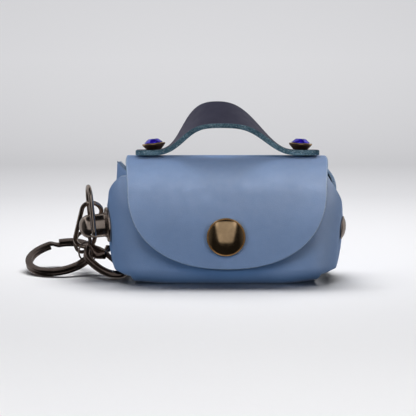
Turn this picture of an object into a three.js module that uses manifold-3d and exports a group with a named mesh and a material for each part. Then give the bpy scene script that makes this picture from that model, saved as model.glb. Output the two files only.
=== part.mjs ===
// Keychain coin purse: one piece of leather, cut flat, folded up and riveted at its sides, with a strap
// handle, a snap on the flap, and a key ring and a trigger clasp that hang from a stud on the left.
// Millimetres, +Z up. The front faces -Y and the purse stands on Z = 0, centred on X = 0.
import * as THREE from 'three';
import { mergeVertices } from 'three/addons/utils/BufferGeometryUtils.js';
import Module from 'manifold-3d';

const wasm = await Module();
wasm.setup();

// Driving dimensions

const GAP = 0.3; // clear space between two pieces that touch on the real purse

const LEATHER = {
  thick: 1.6,
  halfDepth: 17, // middle of the front panel and of the back panel, from the centre
  stripHalf: 38, // half the width of the flap, the top and the panels
  topFlare: 1, // how much wider each side of the top is
  topShift: 0.4, // the top and the flap sit this far right of the centre
  bottomHalf: 35, // half the width of the bottom
  bottomFold: 5, // bend radius between the bottom and the panels
  lipHeight: 29, // height where the front panel starts to lean back
  lipRun: 14,
  lipLean: 22, // degrees
  backHeight: 43.6, // height where the back panel folds over
  backFold: 2.6, // bend radius there
  topRise: 12, // degrees that the top still climbs after that fold
  topTurn: 15.5, // degrees of bend over the top
  frontFold: 14, // bend radius from the top into the flap
  bowRun: 15, // length below that bend over which the flap still curves
  bowTurn: 12, // degrees that it curves there
  flapGap: 2.2, // space that the snap keeps between the flap and the front panel
  flapTip: 7.3, // height of the flap's lowest point
  flapRound: 30.8, // length of the flap's rounded end
  flapPower: 2.3, // how square that end is; 2 would be an ellipse
  flapTipShare: 0.12, // half-width left at the flap's last row
  curlLeft: 1.3, // how far the two ends of the bottom lift off the table
  curlRight: 2.2,
  curlFrom: 20, // the lift starts this far from the centre
  curlTo: 42, // and is whole here
  curlFade: 14, // height where the lift has died out
};

// How each panel bends round into its wings: bend starts at `from`, with this radius, through `turn` degrees.
// The wings lean outward above the rivets by `lean` degrees, and inward below them by `tuck` degrees.
const BENDS = {
  front: { from: 32.9, radius: 11, turn: 80, lean: 5, tuck: 4 },
  back: { from: 33.5, radius: 10, turn: 100, lean: 0, tuck: 3 },
};

// The back left wing's upper part turns further in, over the heights from `from` to `to`. Its top edge dips
// beside the panel and then rises to a peak, at these distances from the centre of the flat leather.
const EAR = { turn: 14, inset: 1.2, from: 26, to: 42 };
const EAR_TOP = { dip: 3, dipFrom: 38, dipTo: 47, rise: 2.4, riseFrom: 44, peak: 49, fallTo: 61 };

const RIVET_HEIGHT = 21.6;
const RIVET_DEPTH = -1; // Y of the rivets through the wings

// The four wings: reach past the strip's edge, and how square the upper and the lower edge are
const WINGS = [
  { panel: 'front', side: -1, reach: 27, upper: 1.12, lower: 2.7 },
  { panel: 'front', side: 1, reach: 27, upper: 0.8, lower: 2.4 },
  { panel: 'back', side: -1, reach: 26, upper: 20, lower: 2.2 },
  { panel: 'back', side: 1, reach: 26, upper: 1.1, lower: 2.2 },
];
const WING_TOP_SHARE = 0.97; // share of a wing's height above the rivet where its first row lies
const WING_FOOT_SHARE = 0.999; // and the same below the rivet, for its last row
const WING_FOOT = 2.4; // no row of a wing lies lower than this

const HANDLE = {
  thick: 2,
  width: 16,
  shift: 0.7, // the whole handle sits this far right of the centre
  rivetHalf: 28.6, // half the distance between its two rivets
  tail: 7, // from a rivet to the strap's end
  corner: 3,
  archLeft: 29, // length of the part that lifts off, on each side of the crown
  archRight: 27,
  archHeight: 18.4,
  archGain: 1.2, // over 1 makes the crown wider, the feet flatter and the flanks steeper
  lean: 32, // degrees that the crown leans forward
  tilt: 28, // degrees that the strap's width tips forward there
  settle: 4.5, // degrees that it tips back at the rivets, where it follows the top
  tiltPower: 1.3, // over 1 keeps the strap's width settled until it nears the crown
  slip: 3, // the crown sits this far left of the arch's middle
  skew: 0.13, // and its front edge is turned to the right by this share of the width
};

const SNAP = { height: 19.7, cap: 7.5, capRise: 2.6, post: 2.2, socket: 4.5, stud: 3.2, back: 5 };
const GEM = { rim: 4.6, cup: 1.8, foot: 2.8, girdle: 3.6, table: 1.9, crown: 1.6, post: 1.5, washer: 4 };
const GEM_ROLL = { left: 6, right: -3 }; // degrees that each gem rivet tips outward with the strap's foot
const SIDE_RIVET = { cap: 4.6, rise: 1.6, post: 1.6, back: 4.2, drop: 1.2 };
const STUD = { flange: 6.9, flangeThick: 1.2, head: 4.65, length: 10.6, dome: 4, post: 1.7, back: 5 };
const DRING = { wire: 0.9, halfWidth: 6.5, height: 18.4, barDrop: 2.7, barFromTip: 5.2, lean: 5, hole: 1.2 };
const LINK = { wire: 0.9, length: 24, width: 9.5, tilt: 13.6, lean: 27.8, x: -54.89, y: 6.96, z: 20.1 };
const JUMP = { wire: 0.35, radius: 4.1, x: -55.49, y: 11.46, z: 8.4, facing: [0.536, -0.827, 0.169] };
const SPLIT = {
  outer: 14,
  inner: 11.4,
  coil: 1.25, // thickness of one coil
  pitch: 1.5,
  jog: 9, // degrees on each side of the step from one coil to the other
  jogAt: 105, // degrees round from the right where that step lies, at the far side
  x: -66.94,
  y: 13.06,
  z: 6.05,
  facing: [-0.144, -0.299, 0.943],
};
const CLASP = {
  eyeHole: 3.2,
  eyeWire: 0.75,
  eyeTurn: -34, // degrees that the eye is turned against the hook
  length: 26.5, // from the eye's centre to the hook's far end
  halfWidth: 6,
  rod: 1.5,
  base: 9.5, // distance of the lever's pin from the eye's centre
  pinSide: 2.6,
  pin: 0.6,
  slot: 1.25, // half the width of the slot that holds the lever
  lever: 0.95, // half the lever's thickness
};

const COLOURS = {
  leather: [0x67809c, 0.62, 0],
  strap: [0x3d3948, 0.55, 0],
  bronze: [0x6a5540, 0.35, 1],
  gunmetal: [0x6e625a, 0.32, 1],
  darkSteel: [0x4f413d, 0.35, 1],
  gem: [0x33277a, 0.08, 0],
};

// Small helpers

const rad = THREE.MathUtils.degToRad;
const { lerp, smoothstep } = THREE.MathUtils;
const vec = (x, y, z) => new THREE.Vector3(x, y, z);
const UP = vec(0, 0, 1);

function material(name) {
  const [color, roughness, metalness] = COLOURS[name];
  return new THREE.MeshStandardMaterial({ color, roughness, metalness });
}

// One closed body, facing out, from any three.js geometry.
function closed(geometry) {
  const plain = geometry.clone();
  plain.deleteAttribute('normal');
  plain.deleteAttribute('uv');
  const merged = mergeVertices(plain, 1e-4);
  const at = merged.attributes.position;
  const index = merged.index.array;
  const [a, b, c] = [vec(), vec(), vec()];
  let volume = 0;
  for (let i = 0; i < index.length; i += 3) {
    a.fromBufferAttribute(at, index[i]);
    b.fromBufferAttribute(at, index[i + 1]);
    c.fromBufferAttribute(at, index[i + 2]);
    volume += a.dot(b.cross(c));
  }
  if (volume < 0) {
    for (let i = 0; i < index.length; i += 3) {
      [index[i + 1], index[i + 2]] = [index[i + 2], index[i + 1]];
    }
  }
  return merged;
}

function manifoldOf(geometry) {
  const body = closed(geometry);
  return new wasm.Manifold(new wasm.Mesh({
    numProp: 3,
    vertProperties: new Float32Array(body.attributes.position.array),
    triVerts: new Uint32Array(body.index.array),
  }));
}

function geometryOf(manifold) {
  const mesh = manifold.getMesh();
  const geometry = new THREE.BufferGeometry();
  geometry.setAttribute('position', new THREE.BufferAttribute(mesh.vertProperties, 3));
  geometry.setIndex(new THREE.BufferAttribute(mesh.triVerts, 1));
  return geometry;
}

function joined(first, ...others) {
  return geometryOf(others.reduce((sum, next) => sum.add(manifoldOf(next)), manifoldOf(first)));
}

function cut(first, ...tools) {
  return geometryOf(tools.reduce((left, tool) => left.subtract(manifoldOf(tool)), manifoldOf(first)));
}

// A solid of revolution about +Z from [radius, height] pairs that start and end on the axis.
function turned(profile, segments) {
  const points = profile.map(([radius, height]) => new THREE.Vector2(radius, height));
  return closed(new THREE.LatheGeometry(points, segments).rotateX(Math.PI / 2));
}

function cylinder(radius, length, segments = 24) {
  return new THREE.CylinderGeometry(radius, radius, length, segments).rotateX(Math.PI / 2);
}

// A body through a run of section loops, each the same count of points; ends capped unless it is a ring.
function loft(loops, ring = false) {
  const count = loops[0].length;
  const index = [];
  const last = ring ? loops.length : loops.length - 1;
  for (let i = 0; i < last; i++) {
    const here = i * count;
    const there = ((i + 1) % loops.length) * count;
    for (let k = 0; k < count; k++) {
      const next = (k + 1) % count;
      index.push(here + k, there + k, there + next, here + k, there + next, here + next);
    }
  }
  if (!ring) {
    const far = (loops.length - 1) * count;
    for (let k = 1; k < count - 1; k++) {
      index.push(0, k, k + 1, far, far + k + 1, far + k);
    }
  }
  const geometry = new THREE.BufferGeometry().setFromPoints(loops.flat());
  geometry.setIndex(index);
  return closed(geometry);
}

// A round or oval section across a flat path: `across` lies in the path's plane, `along` is its normal.
function ovalSection(centre, across, along, halfAcross, halfAlong, sides) {
  return Array.from({ length: sides }, (_, k) => {
    const angle = (2 * Math.PI * k) / sides;
    return centre.clone()
      .addScaledVector(across, halfAcross * Math.cos(angle))
      .addScaledVector(along, halfAlong * Math.sin(angle));
  });
}

// A wire bent into a closed flat loop in the XY plane.
function wireLoop(outline, wire, steps, sides = 8) {
  const points = outline.getSpacedPoints(steps).slice(0, steps);
  const loops = points.map((point, i) => {
    const before = points[(i + steps - 1) % steps];
    const after = points[(i + 1) % steps];
    const across = vec(after.y - before.y, before.x - after.x, 0).normalize();
    return ovalSection(vec(point.x, point.y, 0), across, UP, wire, wire, sides);
  });
  return loft(loops, true);
}

// A rod along a flat curve in the XY plane, with a half-width and a half-thickness at each step.
function rod(curve, steps, sizeAt, sides = 10) {
  const loops = [];
  for (let i = 0; i <= steps; i++) {
    const share = i / steps;
    const tangent = curve.getTangent(share);
    const across = vec(tangent.y, -tangent.x, 0);
    const [half, thick] = sizeAt(share);
    loops.push(ovalSection(curve.getPoint(share), across, UP, half, thick, sides));
  }
  return loft(loops);
}

const group = new THREE.Group();
group.name = 'keychain_coin_purse';

function addPiece(name, geometry, look) {
  const mesh = new THREE.Mesh(geometry, material(look));
  mesh.name = name;
  group.add(mesh);
  return mesh;
}

// Turns a body from its own frame, where it stands along +Z, to an axis at a place.
function placed(geometry, position, axis) {
  const turn = new THREE.Quaternion().setFromUnitVectors(UP, axis.clone().normalize());
  return geometry.clone().applyQuaternion(turn).translate(position.x, position.y, position.z);
}

// Puts a body into a frame with the given X and Y directions.
function framed(geometry, position, xAxis, yAxis) {
  const x = xAxis.clone().normalize();
  const z = x.clone().cross(yAxis).normalize();
  const basis = new THREE.Matrix4().makeBasis(x, z.clone().cross(x), z).setPosition(position);
  return geometry.clone().applyMatrix4(basis);
}

// The leather strip seen from the side: front lip, front, bottom, back, top and flap, in that order.
// Each row bends through `turn` degrees over its `run`, and gets `rows` rows of the grid.

const FLAP_Y = -LEATHER.halfDepth - LEATHER.thick - LEATHER.flapGap;
const MIDDLE = LEATHER.thick / 2;
const foldRun = (radius, turn) => radius * rad(turn);

function walk(start, pieces) {
  let { y, z, heading } = start;
  let from = 0;
  return pieces.map((piece) => {
    const placedPiece = { ...piece, from, y, z, heading };
    const end = alongPiece(placedPiece, piece.run);
    ({ y, z, heading } = end);
    from += piece.run;
    return placedPiece;
  });
}

function alongPiece(piece, distance) {
  const bend = rad(piece.turn) / piece.run;
  const heading = piece.heading + bend * distance;
  if (piece.turn === 0) {
    return {
      y: piece.y + distance * Math.cos(heading),
      z: piece.z + distance * Math.sin(heading),
      heading,
    };
  }
  return {
    y: piece.y + (Math.sin(heading) - Math.sin(piece.heading)) / bend,
    z: piece.z + (Math.cos(piece.heading) - Math.cos(heading)) / bend,
    heading,
  };
}

function stripPieces() {
  const L = LEATHER;
  const straight = L.lipHeight - MIDDLE - L.bottomFold;
  const lipRadius = L.lipRun / rad(L.lipLean);
  const start = {
    y: -L.halfDepth + lipRadius * (1 - Math.cos(rad(L.lipLean))),
    z: L.lipHeight + lipRadius * Math.sin(rad(L.lipLean)),
    heading: -Math.PI / 2 - rad(L.lipLean),
  };
  const overTurn = 90 - L.topRise;
  const flapTurn = 90 + L.topRise - L.topTurn;
  const topFrom = L.halfDepth - L.backFold * (1 - Math.cos(rad(overTurn)));
  const bowDepth = (L.bowRun / rad(L.bowTurn)) * (1 - Math.cos(rad(L.bowTurn)));
  const topTo = FLAP_Y + bowDepth + L.frontFold * (Math.cos(rad(L.bowTurn)) - Math.cos(rad(flapTurn)));
  const foldTurn = flapTurn - L.bowTurn;
  const topBend = Math.sin(rad(L.topRise)) + Math.sin(rad(L.topTurn - L.topRise));
  const topRun = ((topFrom - topTo) * rad(L.topTurn)) / topBend;
  const body = [
    { part: 'lip', panel: 'front', run: L.lipRun, turn: L.lipLean, rows: 6 },
    { part: 'front', panel: 'front', run: straight, turn: 0, rows: 7 },
    { part: 'front_fold', panel: 'front', run: foldRun(L.bottomFold, 90), turn: 90, rows: 5 },
    { part: 'bottom', panel: 'bottom', run: 2 * (L.halfDepth - L.bottomFold), turn: 0, rows: 3 },
    { part: 'back_fold', panel: 'back', run: foldRun(L.bottomFold, 90), turn: 90, rows: 5 },
    { part: 'back', panel: 'back', run: L.backHeight - MIDDLE - L.bottomFold, turn: 0, rows: 12 },
    { part: 'back_top', panel: 'back', run: foldRun(L.backFold, overTurn), turn: overTurn, rows: 4 },
    { part: 'top', panel: 'top', run: topRun, turn: L.topTurn, rows: 3 },
    { part: 'front_top', panel: 'flap', run: foldRun(L.frontFold, foldTurn), turn: foldTurn, rows: 8 },
    { part: 'flap_bow', panel: 'flap', run: L.bowRun, turn: L.bowTurn, rows: 6 },
  ];
  const pieces = walk(start, body);
  const last = pieces.at(-1);
  const bendEnd = alongPiece(last, last.run);
  const flapRun = bendEnd.z - L.flapTip;
  return walk(start, [...body, { part: 'flap', panel: 'flap', run: flapRun, turn: 0, rows: 9 }]);
}

const STRIP = stripPieces();
const FLAP = STRIP.at(-1);
const FLAP_END = FLAP.from + FLAP.run;
const startOf = (part) => STRIP.find((piece) => piece.part === part).from;
const BACK_TOP_FROM = startOf('back_top');
const TOP_FROM = startOf('top');
const FRONT_TOP_FROM = startOf('front_top');
const BOW_FROM = startOf('flap_bow');

function pieceAt(s) {
  return STRIP.find((piece) => s < piece.from + piece.run) ?? FLAP;
}

// How much of the side bend a row has: all of it on the panels, none on the bottom, the top and the flap.
function bendShare(piece, distance) {
  const share = distance / piece.run;
  const byPart = {
    lip: 1,
    front: 1,
    front_fold: 1 - smoothstep(share, 0.3, 1),
    back_fold: smoothstep(share, 0, 0.7),
    back: 1,
    back_top: 1 - smoothstep(share, 0, 1),
  };
  return byPart[piece.part] ?? 0;
}

// Half the width of the strip itself at a row.
function stripHalfAt(piece, distance) {
  const share = smoothstep(distance / piece.run, 0, 1);
  const { stripHalf, bottomHalf } = LEATHER;
  if (piece.part === 'front_fold') return lerp(stripHalf, bottomHalf, share);
  if (piece.part === 'bottom') return bottomHalf;
  if (piece.part === 'back_fold') return lerp(bottomHalf, stripHalf, share);
  const s = piece.from + distance;
  const onTop = smoothstep(s, BACK_TOP_FROM, TOP_FROM) - smoothstep(s, FRONT_TOP_FROM, BOW_FROM);
  const intoRound = (s - (FLAP_END - LEATHER.flapRound)) / LEATHER.flapRound;
  if (intoRound <= 0) return stripHalf + LEATHER.topFlare * onTop;
  const left = Math.max(1 - intoRound ** LEATHER.flapPower, 0) ** (1 / LEATHER.flapPower);
  return stripHalf * Math.max(left, LEATHER.flapTipShare);
}

// How far the back left wing's top edge lies over or under the panel's.
function earTop(flat) {
  const { dip, dipFrom, dipTo, rise, riseFrom, peak, fallTo } = EAR_TOP;
  const middle = (dipFrom + dipTo) / 2;
  const hollow = smoothstep(flat, dipFrom, middle) - smoothstep(flat, middle, dipTo);
  const hump = smoothstep(flat, riseFrom, peak) - smoothstep(flat, peak, fallTo);
  return rise * hump - dip * hollow;
}

// Where a point of the flat leather goes when the purse is folded up: p runs across, s along the strip.
function foldedPoint(p, s) {
  const piece = pieceAt(s);
  const distance = s - piece.from;
  const at = alongPiece(piece, distance);
  const share = bendShare(piece, distance);
  const flat = Math.abs(p);
  const onEar = p < 0 && ['back', 'back_top'].includes(piece.part);
  const ear = onEar ? smoothstep(at.z, EAR.from, EAR.to) : 0;
  let x = flat;
  let inward = 0;
  if (share > 0) {
    const bend = BENDS[piece.panel];
    const round = rad(bend.turn + EAR.turn * ear);
    const bendFrom = bend.from - EAR.inset * ear;
    const past = Math.max(flat - bendFrom, 0);
    const angle = Math.min(past / bend.radius, round);
    const straight = Math.max(past - bend.radius * round, 0);
    const bentX = Math.min(flat, bendFrom) + bend.radius * Math.sin(angle) + straight * Math.cos(angle);
    x = lerp(flat, bentX, share);
    inward = share * (bend.radius * (1 - Math.cos(angle)) + straight * Math.sin(angle));
  }
  // The wings keep standing upright where their panel bends under
  const upright = { front_fold: -Math.PI / 2, back_fold: Math.PI / 2 };
  const facing = upright[piece.part] ?? at.heading;
  const y = at.y - inward * Math.sin(facing);
  let z = at.z + inward * Math.cos(facing);
  const { curlFrom, curlTo, curlFade, curlLeft, curlRight } = LEATHER;
  const curl = smoothstep(x, curlFrom, curlTo) * (1 - smoothstep(z, 0, curlFade));
  if (!piece.part.startsWith('flap')) z += curl * (p < 0 ? curlLeft : curlRight);
  if (share > 0) {
    const { from, radius, lean, tuck } = BENDS[piece.panel];
    const slope = Math.tan(rad(z > RIVET_HEIGHT ? lean : tuck));
    x += share * smoothstep(x, from, from + radius) * slope * (z - RIVET_HEIGHT);
  }
  z += ear * earTop(flat);
  const shift = LEATHER.topShift * smoothstep(s, BACK_TOP_FROM, FRONT_TOP_FROM);
  return vec(Math.sign(p) * x + shift, y, z);
}

function leatherNormal(p, s) {
  const step = 0.02;
  const across = foldedPoint(p + step, s).sub(foldedPoint(p - step, s));
  const along = foldedPoint(p, s + step).sub(foldedPoint(p, s - step));
  return across.cross(along).normalize();
}

// The grid's rows along the strip: { s, half } and the wings that a row carries.
function gridRows() {
  const rows = [];
  for (const piece of STRIP) {
    const count = piece.part === 'flap' ? piece.rows + 1 : piece.rows;
    for (let i = 0; i < count; i++) {
      const even = i / piece.rows;
      const share = piece.part === 'flap' ? Math.sin((even * Math.PI) / 2) : even;
      const distance = share * piece.run;
      const row = { s: piece.from + distance, half: stripHalfAt(piece, distance), panel: '' };
      row.z = alongPiece(piece, distance).z;
      const onPanel = ['lip', 'front', 'back'].includes(piece.part);
      const starts = piece.part === 'back_top' && i === 0;
      const bendsUnder = piece.part.endsWith('_fold') && row.z > WING_FOOT;
      if (onPanel || starts || bendsUnder) row.panel = piece.panel;
      rows.push(row);
    }
  }
  return rows;
}

// How far a wing reaches past the strip at a height, from the wing's top and bottom heights.
function wingReach(wing, z, low, high) {
  const upper = z > RIVET_HEIGHT;
  const power = upper ? wing.upper : wing.lower;
  const half = upper ? (high - RIVET_HEIGHT) / WING_TOP_SHARE : (RIVET_HEIGHT - low) / WING_FOOT_SHARE;
  const share = Math.abs(z - RIVET_HEIGHT) / half;
  return wing.reach * (1 - share ** power) ** (1 / power);
}

// Flat grid points of the leather in rows, and the cells between them, as lists of four grid points.
function leatherGrid() {
  const strip = [-1, -0.93, -0.84, -0.7, -0.55, 0.55, 0.7, 0.84, 0.93, 1];
  const wingColumns = 9;
  const rows = gridRows();
  const points = [];
  const pointAt = (p, s) => points.push([p, s]) - 1;
  const grid = rows.map((row) => strip.map((share) => pointAt(share * row.half, row.s)));
  const cells = [];
  const addCells = (here, there, flip) => {
    for (let k = 0; k + 1 < here.length; k++) {
      const cell = [here[k], here[k + 1], there[k + 1], there[k]];
      cells.push(flip ? cell.reverse() : cell);
    }
  };
  for (let j = 0; j + 1 < rows.length; j++) addCells(grid[j], grid[j + 1], false);
  for (const wing of WINGS) {
    const own = rows.map((row, j) => ({ ...row, j })).filter((row) => row.panel === wing.panel);
    const heights = own.map((row) => row.z);
    const low = Math.min(...heights);
    const high = Math.max(...heights);
    const wingRows = own.map((row) => {
      const reach = wingReach(wing, row.z, low, high);
      const line = [grid[row.j].at(wing.side < 0 ? 0 : -1)];
      for (let k = 1; k <= wingColumns; k++) {
        line.push(pointAt(wing.side * (row.half + (reach * k) / wingColumns), row.s));
      }
      return line;
    });
    for (let j = 0; j + 1 < wingRows.length; j++) addCells(wingRows[j], wingRows[j + 1], wing.side < 0);
  }
  return { points, cells };
}

// Gives a folded grid its thickness: both faces, and a wall round every edge that only one cell has.
function thickSheet(points, cells, pointOf, normalOf, thick) {
  const faces = [1, -1].map((side) => points.map((point) => (
    pointOf(...point).addScaledVector(normalOf(...point), (side * thick) / 2)
  )));
  const count = points.length;
  const index = [];
  const edges = new Map();
  for (const cell of cells) {
    const [a, b, c, d] = cell;
    index.push(a, b, c, a, c, d, count + a, count + c, count + b, count + a, count + d, count + c);
    cell.forEach((from, k) => {
      const to = cell[(k + 1) % 4];
      if (!edges.delete(`${to},${from}`)) edges.set(`${from},${to}`, [from, to]);
    });
  }
  for (const [from, to] of edges.values()) {
    index.push(from, count + from, count + to, from, count + to, to);
  }
  const geometry = new THREE.BufferGeometry().setFromPoints(faces.flat());
  geometry.setIndex(index);
  return closed(geometry);
}

function foldedLeather() {
  const { points, cells } = leatherGrid();
  return thickSheet(points, cells, foldedPoint, leatherNormal, LEATHER.thick);
}

// A point on a front wing's outside face at the rivets, and the way that it faces there.
function wingSeat(side, height) {
  const front = STRIP[1];
  const s = front.from + (LEATHER.lipHeight - height);
  let p = BENDS.front.from;
  while (foldedPoint(p, s).y < RIVET_DEPTH) p += 0.1;
  const normal = leatherNormal(side * p, s);
  const outward = normal.x * side > 0 ? normal : normal.negate();
  const point = foldedPoint(side * p, s).addScaledVector(outward, LEATHER.thick / 2);
  return { point, outward };
}

const leftSeat = wingSeat(-1, RIVET_HEIGHT);
const rightSeat = wingSeat(1, RIVET_HEIGHT - SIDE_RIVET.drop);
const WALL_PAIR = 2 * LEATHER.thick + 1.6; // two wings and the space between them at a rivet

// Rivet through the right wings

const rivetProfile = [
  [0, SIDE_RIVET.rise + GAP],
  [SIDE_RIVET.cap * 0.5, SIDE_RIVET.rise * 0.82 + GAP],
  [SIDE_RIVET.cap * 0.85, SIDE_RIVET.rise * 0.42 + GAP],
  [SIDE_RIVET.cap, GAP + 0.3],
  [SIDE_RIVET.cap, GAP],
  [SIDE_RIVET.post, GAP],
  [SIDE_RIVET.post, -WALL_PAIR - GAP],
  [SIDE_RIVET.back, -WALL_PAIR - GAP],
  [SIDE_RIVET.back, -WALL_PAIR - GAP - 0.8],
  [0, -WALL_PAIR - GAP - 1],
];
addPiece('side_rivet', placed(turned(rivetProfile, 24), rightSeat.point, rightSeat.outward), 'gunmetal');

// Stud through the left wings: flange, head with a domed end, cross hole for the D-ring, and back washer

const studTip = GAP + STUD.flangeThick + STUD.length;
const studProfile = [
  [0, studTip],
  [STUD.head * 0.42, studTip - 0.35],
  [STUD.head * 0.74, studTip - 1.3],
  [STUD.head * 0.93, studTip - 2.6],
  [STUD.head, studTip - STUD.dome],
  [STUD.head, GAP + STUD.flangeThick],
  [STUD.flange, GAP + STUD.flangeThick * 0.7],
  [STUD.flange, GAP],
  [STUD.post, GAP],
  [STUD.post, -WALL_PAIR - GAP],
  [STUD.back, -WALL_PAIR - GAP],
  [STUD.back, -WALL_PAIR - GAP - 0.9],
  [0, -WALL_PAIR - GAP - 1.2],
];
const studBody = placed(turned(studProfile, 28), leftSeat.point, leftSeat.outward);
const studAxis = leftSeat.outward.clone();
const studDown = vec(0, 0, -1).addScaledVector(studAxis, studAxis.z).normalize();
const barAxis = studDown.clone().cross(studAxis).normalize();
const barCentre = leftSeat.point.clone()
  .addScaledVector(studAxis, studTip - DRING.barFromTip)
  .addScaledVector(studDown, DRING.barDrop);
const barHole = placed(cylinder(DRING.hole, 4 * STUD.head, 16), barCentre, barAxis);
addPiece('side_stud', cut(studBody, barHole), 'gunmetal');

// D-ring: its bar goes through the stud, and it stands up with a small lean to the left

function dOutline() {
  const half = DRING.halfWidth;
  const shoulder = DRING.height - half;
  const corner = 1.6;
  const outline = new THREE.Path();
  outline.moveTo(-half + corner, 0);
  outline.lineTo(half - corner, 0);
  outline.absarc(half - corner, corner, corner, -Math.PI / 2, 0, false);
  outline.lineTo(half, shoulder);
  outline.absarc(0, shoulder, half, 0, Math.PI, false);
  outline.lineTo(-half, corner);
  outline.absarc(-half + corner, corner, corner, Math.PI, 1.5 * Math.PI, false);
  return outline;
}
const dUp = vec(-Math.sin(rad(DRING.lean)), 0, Math.cos(rad(DRING.lean)));
addPiece('d_ring', framed(wireLoop(dOutline(), DRING.wire, 40), barCentre, barAxis, dUp), 'gunmetal');

// Oval link: through the D-ring above the stud, and down behind it

function ovalOutline(length, width) {
  const radius = width / 2;
  const straight = length / 2 - radius;
  const outline = new THREE.Path();
  outline.absarc(0, straight, radius, 0, Math.PI, false);
  outline.absarc(0, -straight, radius, Math.PI, 2 * Math.PI, false);
  outline.lineTo(radius, straight);
  return outline;
}
const linkBend = ovalOutline(LINK.length - 2 * LINK.wire, LINK.width - 2 * LINK.wire);
const linkUp = vec(0, -Math.sin(rad(LINK.lean)), Math.cos(rad(LINK.lean)));
const linkTilt = rad(LINK.tilt);
const linkLong = linkUp.clone().multiplyScalar(Math.cos(linkTilt)).add(vec(Math.sin(linkTilt), 0, 0));
const linkWide = vec(Math.cos(linkTilt), 0, 0).addScaledVector(linkUp, -Math.sin(linkTilt));
const linkPlace = vec(LINK.x, LINK.y, LINK.z);
addPiece('link_ring', framed(wireLoop(linkBend, LINK.wire, 32), linkPlace, linkWide, linkLong), 'gunmetal');

// Split ring of two coils with one jog between them, lying tilted with its front left on the table

function splitRing() {
  const { outer, inner, coil, pitch } = SPLIT;
  const jog = rad(SPLIT.jog);
  const steps = 76;
  const loops = [];
  for (let i = 0; i <= steps; i++) {
    const angle = lerp(jog, 4 * Math.PI - jog, i / steps);
    const level = pitch * (smoothstep(angle, 2 * Math.PI - jog, 2 * Math.PI + jog) - 0.5);
    const section = [[inner, -0.5], [outer, -0.5], [outer, 0.5], [inner, 0.5]];
    loops.push(section.map(([radius, side]) => (
      vec(radius * Math.cos(angle), radius * Math.sin(angle), level + side * coil)
    )));
  }
  return loft(loops);
}
const splitNormal = vec(...SPLIT.facing).normalize();
const splitRight = vec(1, 0, 0).addScaledVector(splitNormal, -splitNormal.x).normalize();
const splitBack = splitNormal.clone().cross(splitRight);
const jogAngle = rad(SPLIT.jogAt);
const splitX = splitRight.clone().multiplyScalar(Math.cos(jogAngle))
  .addScaledVector(splitBack, Math.sin(jogAngle));
const splitPlace = vec(SPLIT.x, SPLIT.y, SPLIT.z);
const splitY = splitNormal.clone().cross(splitX);
addPiece('split_ring', framed(splitRing(), splitPlace, splitX, splitY), 'darkSteel');

// Thin jump ring round the link and the split ring

const jumpBend = new THREE.Path().absarc(0, 0, JUMP.radius, 0, 2 * Math.PI, false);
const jumpPlace = vec(JUMP.x, JUMP.y, JUMP.z);
const jumpWire = wireLoop(jumpBend, JUMP.wire, 24, 6);
addPiece('jump_ring', placed(jumpWire, jumpPlace, vec(...JUMP.facing)), 'gunmetal');

// Trigger clasp, in its own flat frame: X from the eye to the hook's end, Y to the lever's side

const claspAxis = vec(0.666, -0.622, -0.413).normalize();
const claspRoll = rad(20);
const claspLevel = vec(-claspAxis.y, claspAxis.x, 0).normalize();
const claspRise = claspAxis.clone().cross(claspLevel);
const claspSide = claspLevel.clone().multiplyScalar(Math.cos(claspRoll))
  .addScaledVector(claspRise, Math.sin(claspRoll));
const claspPlace = vec(-57.54, 11.1, 12.4);

function flatCurve(pairs) {
  const points = pairs.map(([x, y]) => vec(x, y, 0));
  return new THREE.CatmullRomCurve3(points, false, 'centripetal');
}

function claspHook() {
  const { eyeHole, eyeWire, length, halfWidth, rod: thick, base, pinSide } = CLASP;
  const eyeRadius = eyeHole + eyeWire;
  const eye = new THREE.TorusGeometry(eyeRadius, eyeWire, 8, 24).rotateX(Math.PI / 2 + rad(CLASP.eyeTurn));
  const spine = -halfWidth + thick;
  const end = length - thick;
  const path = flatCurve([
    [eyeRadius, 0],
    [eyeRadius + 2, spine * 0.45],
    [base, spine],
    [length * 0.62, spine - 0.3],
    [length * 0.82, spine * 0.75],
    [end, 0.3],
    [length * 0.9, pinSide + 0.9],
    [length * 0.78, pinSide + 1.75],
  ]);
  const hook = rod(path, 22, (share) => {
    const width = lerp(1.1, 0.62, smoothstep(share, 0.55, 1)) * thick;
    return [width, thick];
  });
  const block = flatCurve([[eyeRadius, 0.2], [base - 2.6, 0.6], [base, 1], [base + 2.4, pinSide - 0.2]]);
  const bodyWidth = (share) => lerp(1.2, 3, smoothstep(share, 0, 0.55)) - 1.5 * smoothstep(share, 0.6, 1);
  const body = rod(block, 10, (share) => [bodyWidth(share), thick * 1.35], 12);
  const slot = new THREE.BoxGeometry(12, 6.2, 2 * CLASP.slot).translate(base + 3.2, pinSide + 1.2, 0);
  const pin = cylinder(CLASP.pin, 2 * thick, 12).translate(base, pinSide, 0);
  const solid = joined(eye, hook, body);
  return joined(cut(solid, slot), pin);
}

function claspLever() {
  const { length, base, pinSide, lever, pin } = CLASP;
  const arm = flatCurve([
    [base - 1.3, pinSide],
    [base + 2, pinSide + 0.3],
    [length * 0.66, pinSide],
    [length * 0.8, pinSide - 0.4],
  ]);
  const bar = rod(arm, 10, (share) => [lerp(1.45, 0.75, share), lever], 10);
  const tab = flatCurve([
    [base + 1.2, pinSide + 0.6],
    [base + 0.2, pinSide + 2.6],
    [base - 0.6, pinSide + 4.2],
  ]);
  const thumb = rod(tab, 6, (share) => [lerp(1.1, 1.7, share), lever], 10);
  const hole = cylinder(pin + GAP, 6, 12).translate(base, pinSide, 0);
  return cut(joined(bar, thumb), hole);
}

const intoClasp = (geometry) => framed(geometry, claspPlace, claspAxis, claspSide);
addPiece('clasp_hook', intoClasp(claspHook()), 'darkSteel');
addPiece('clasp_lever', intoClasp(claspLever()), 'darkSteel');

// Strap handle: flat where it is riveted down, an arch that leans forward between

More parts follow.
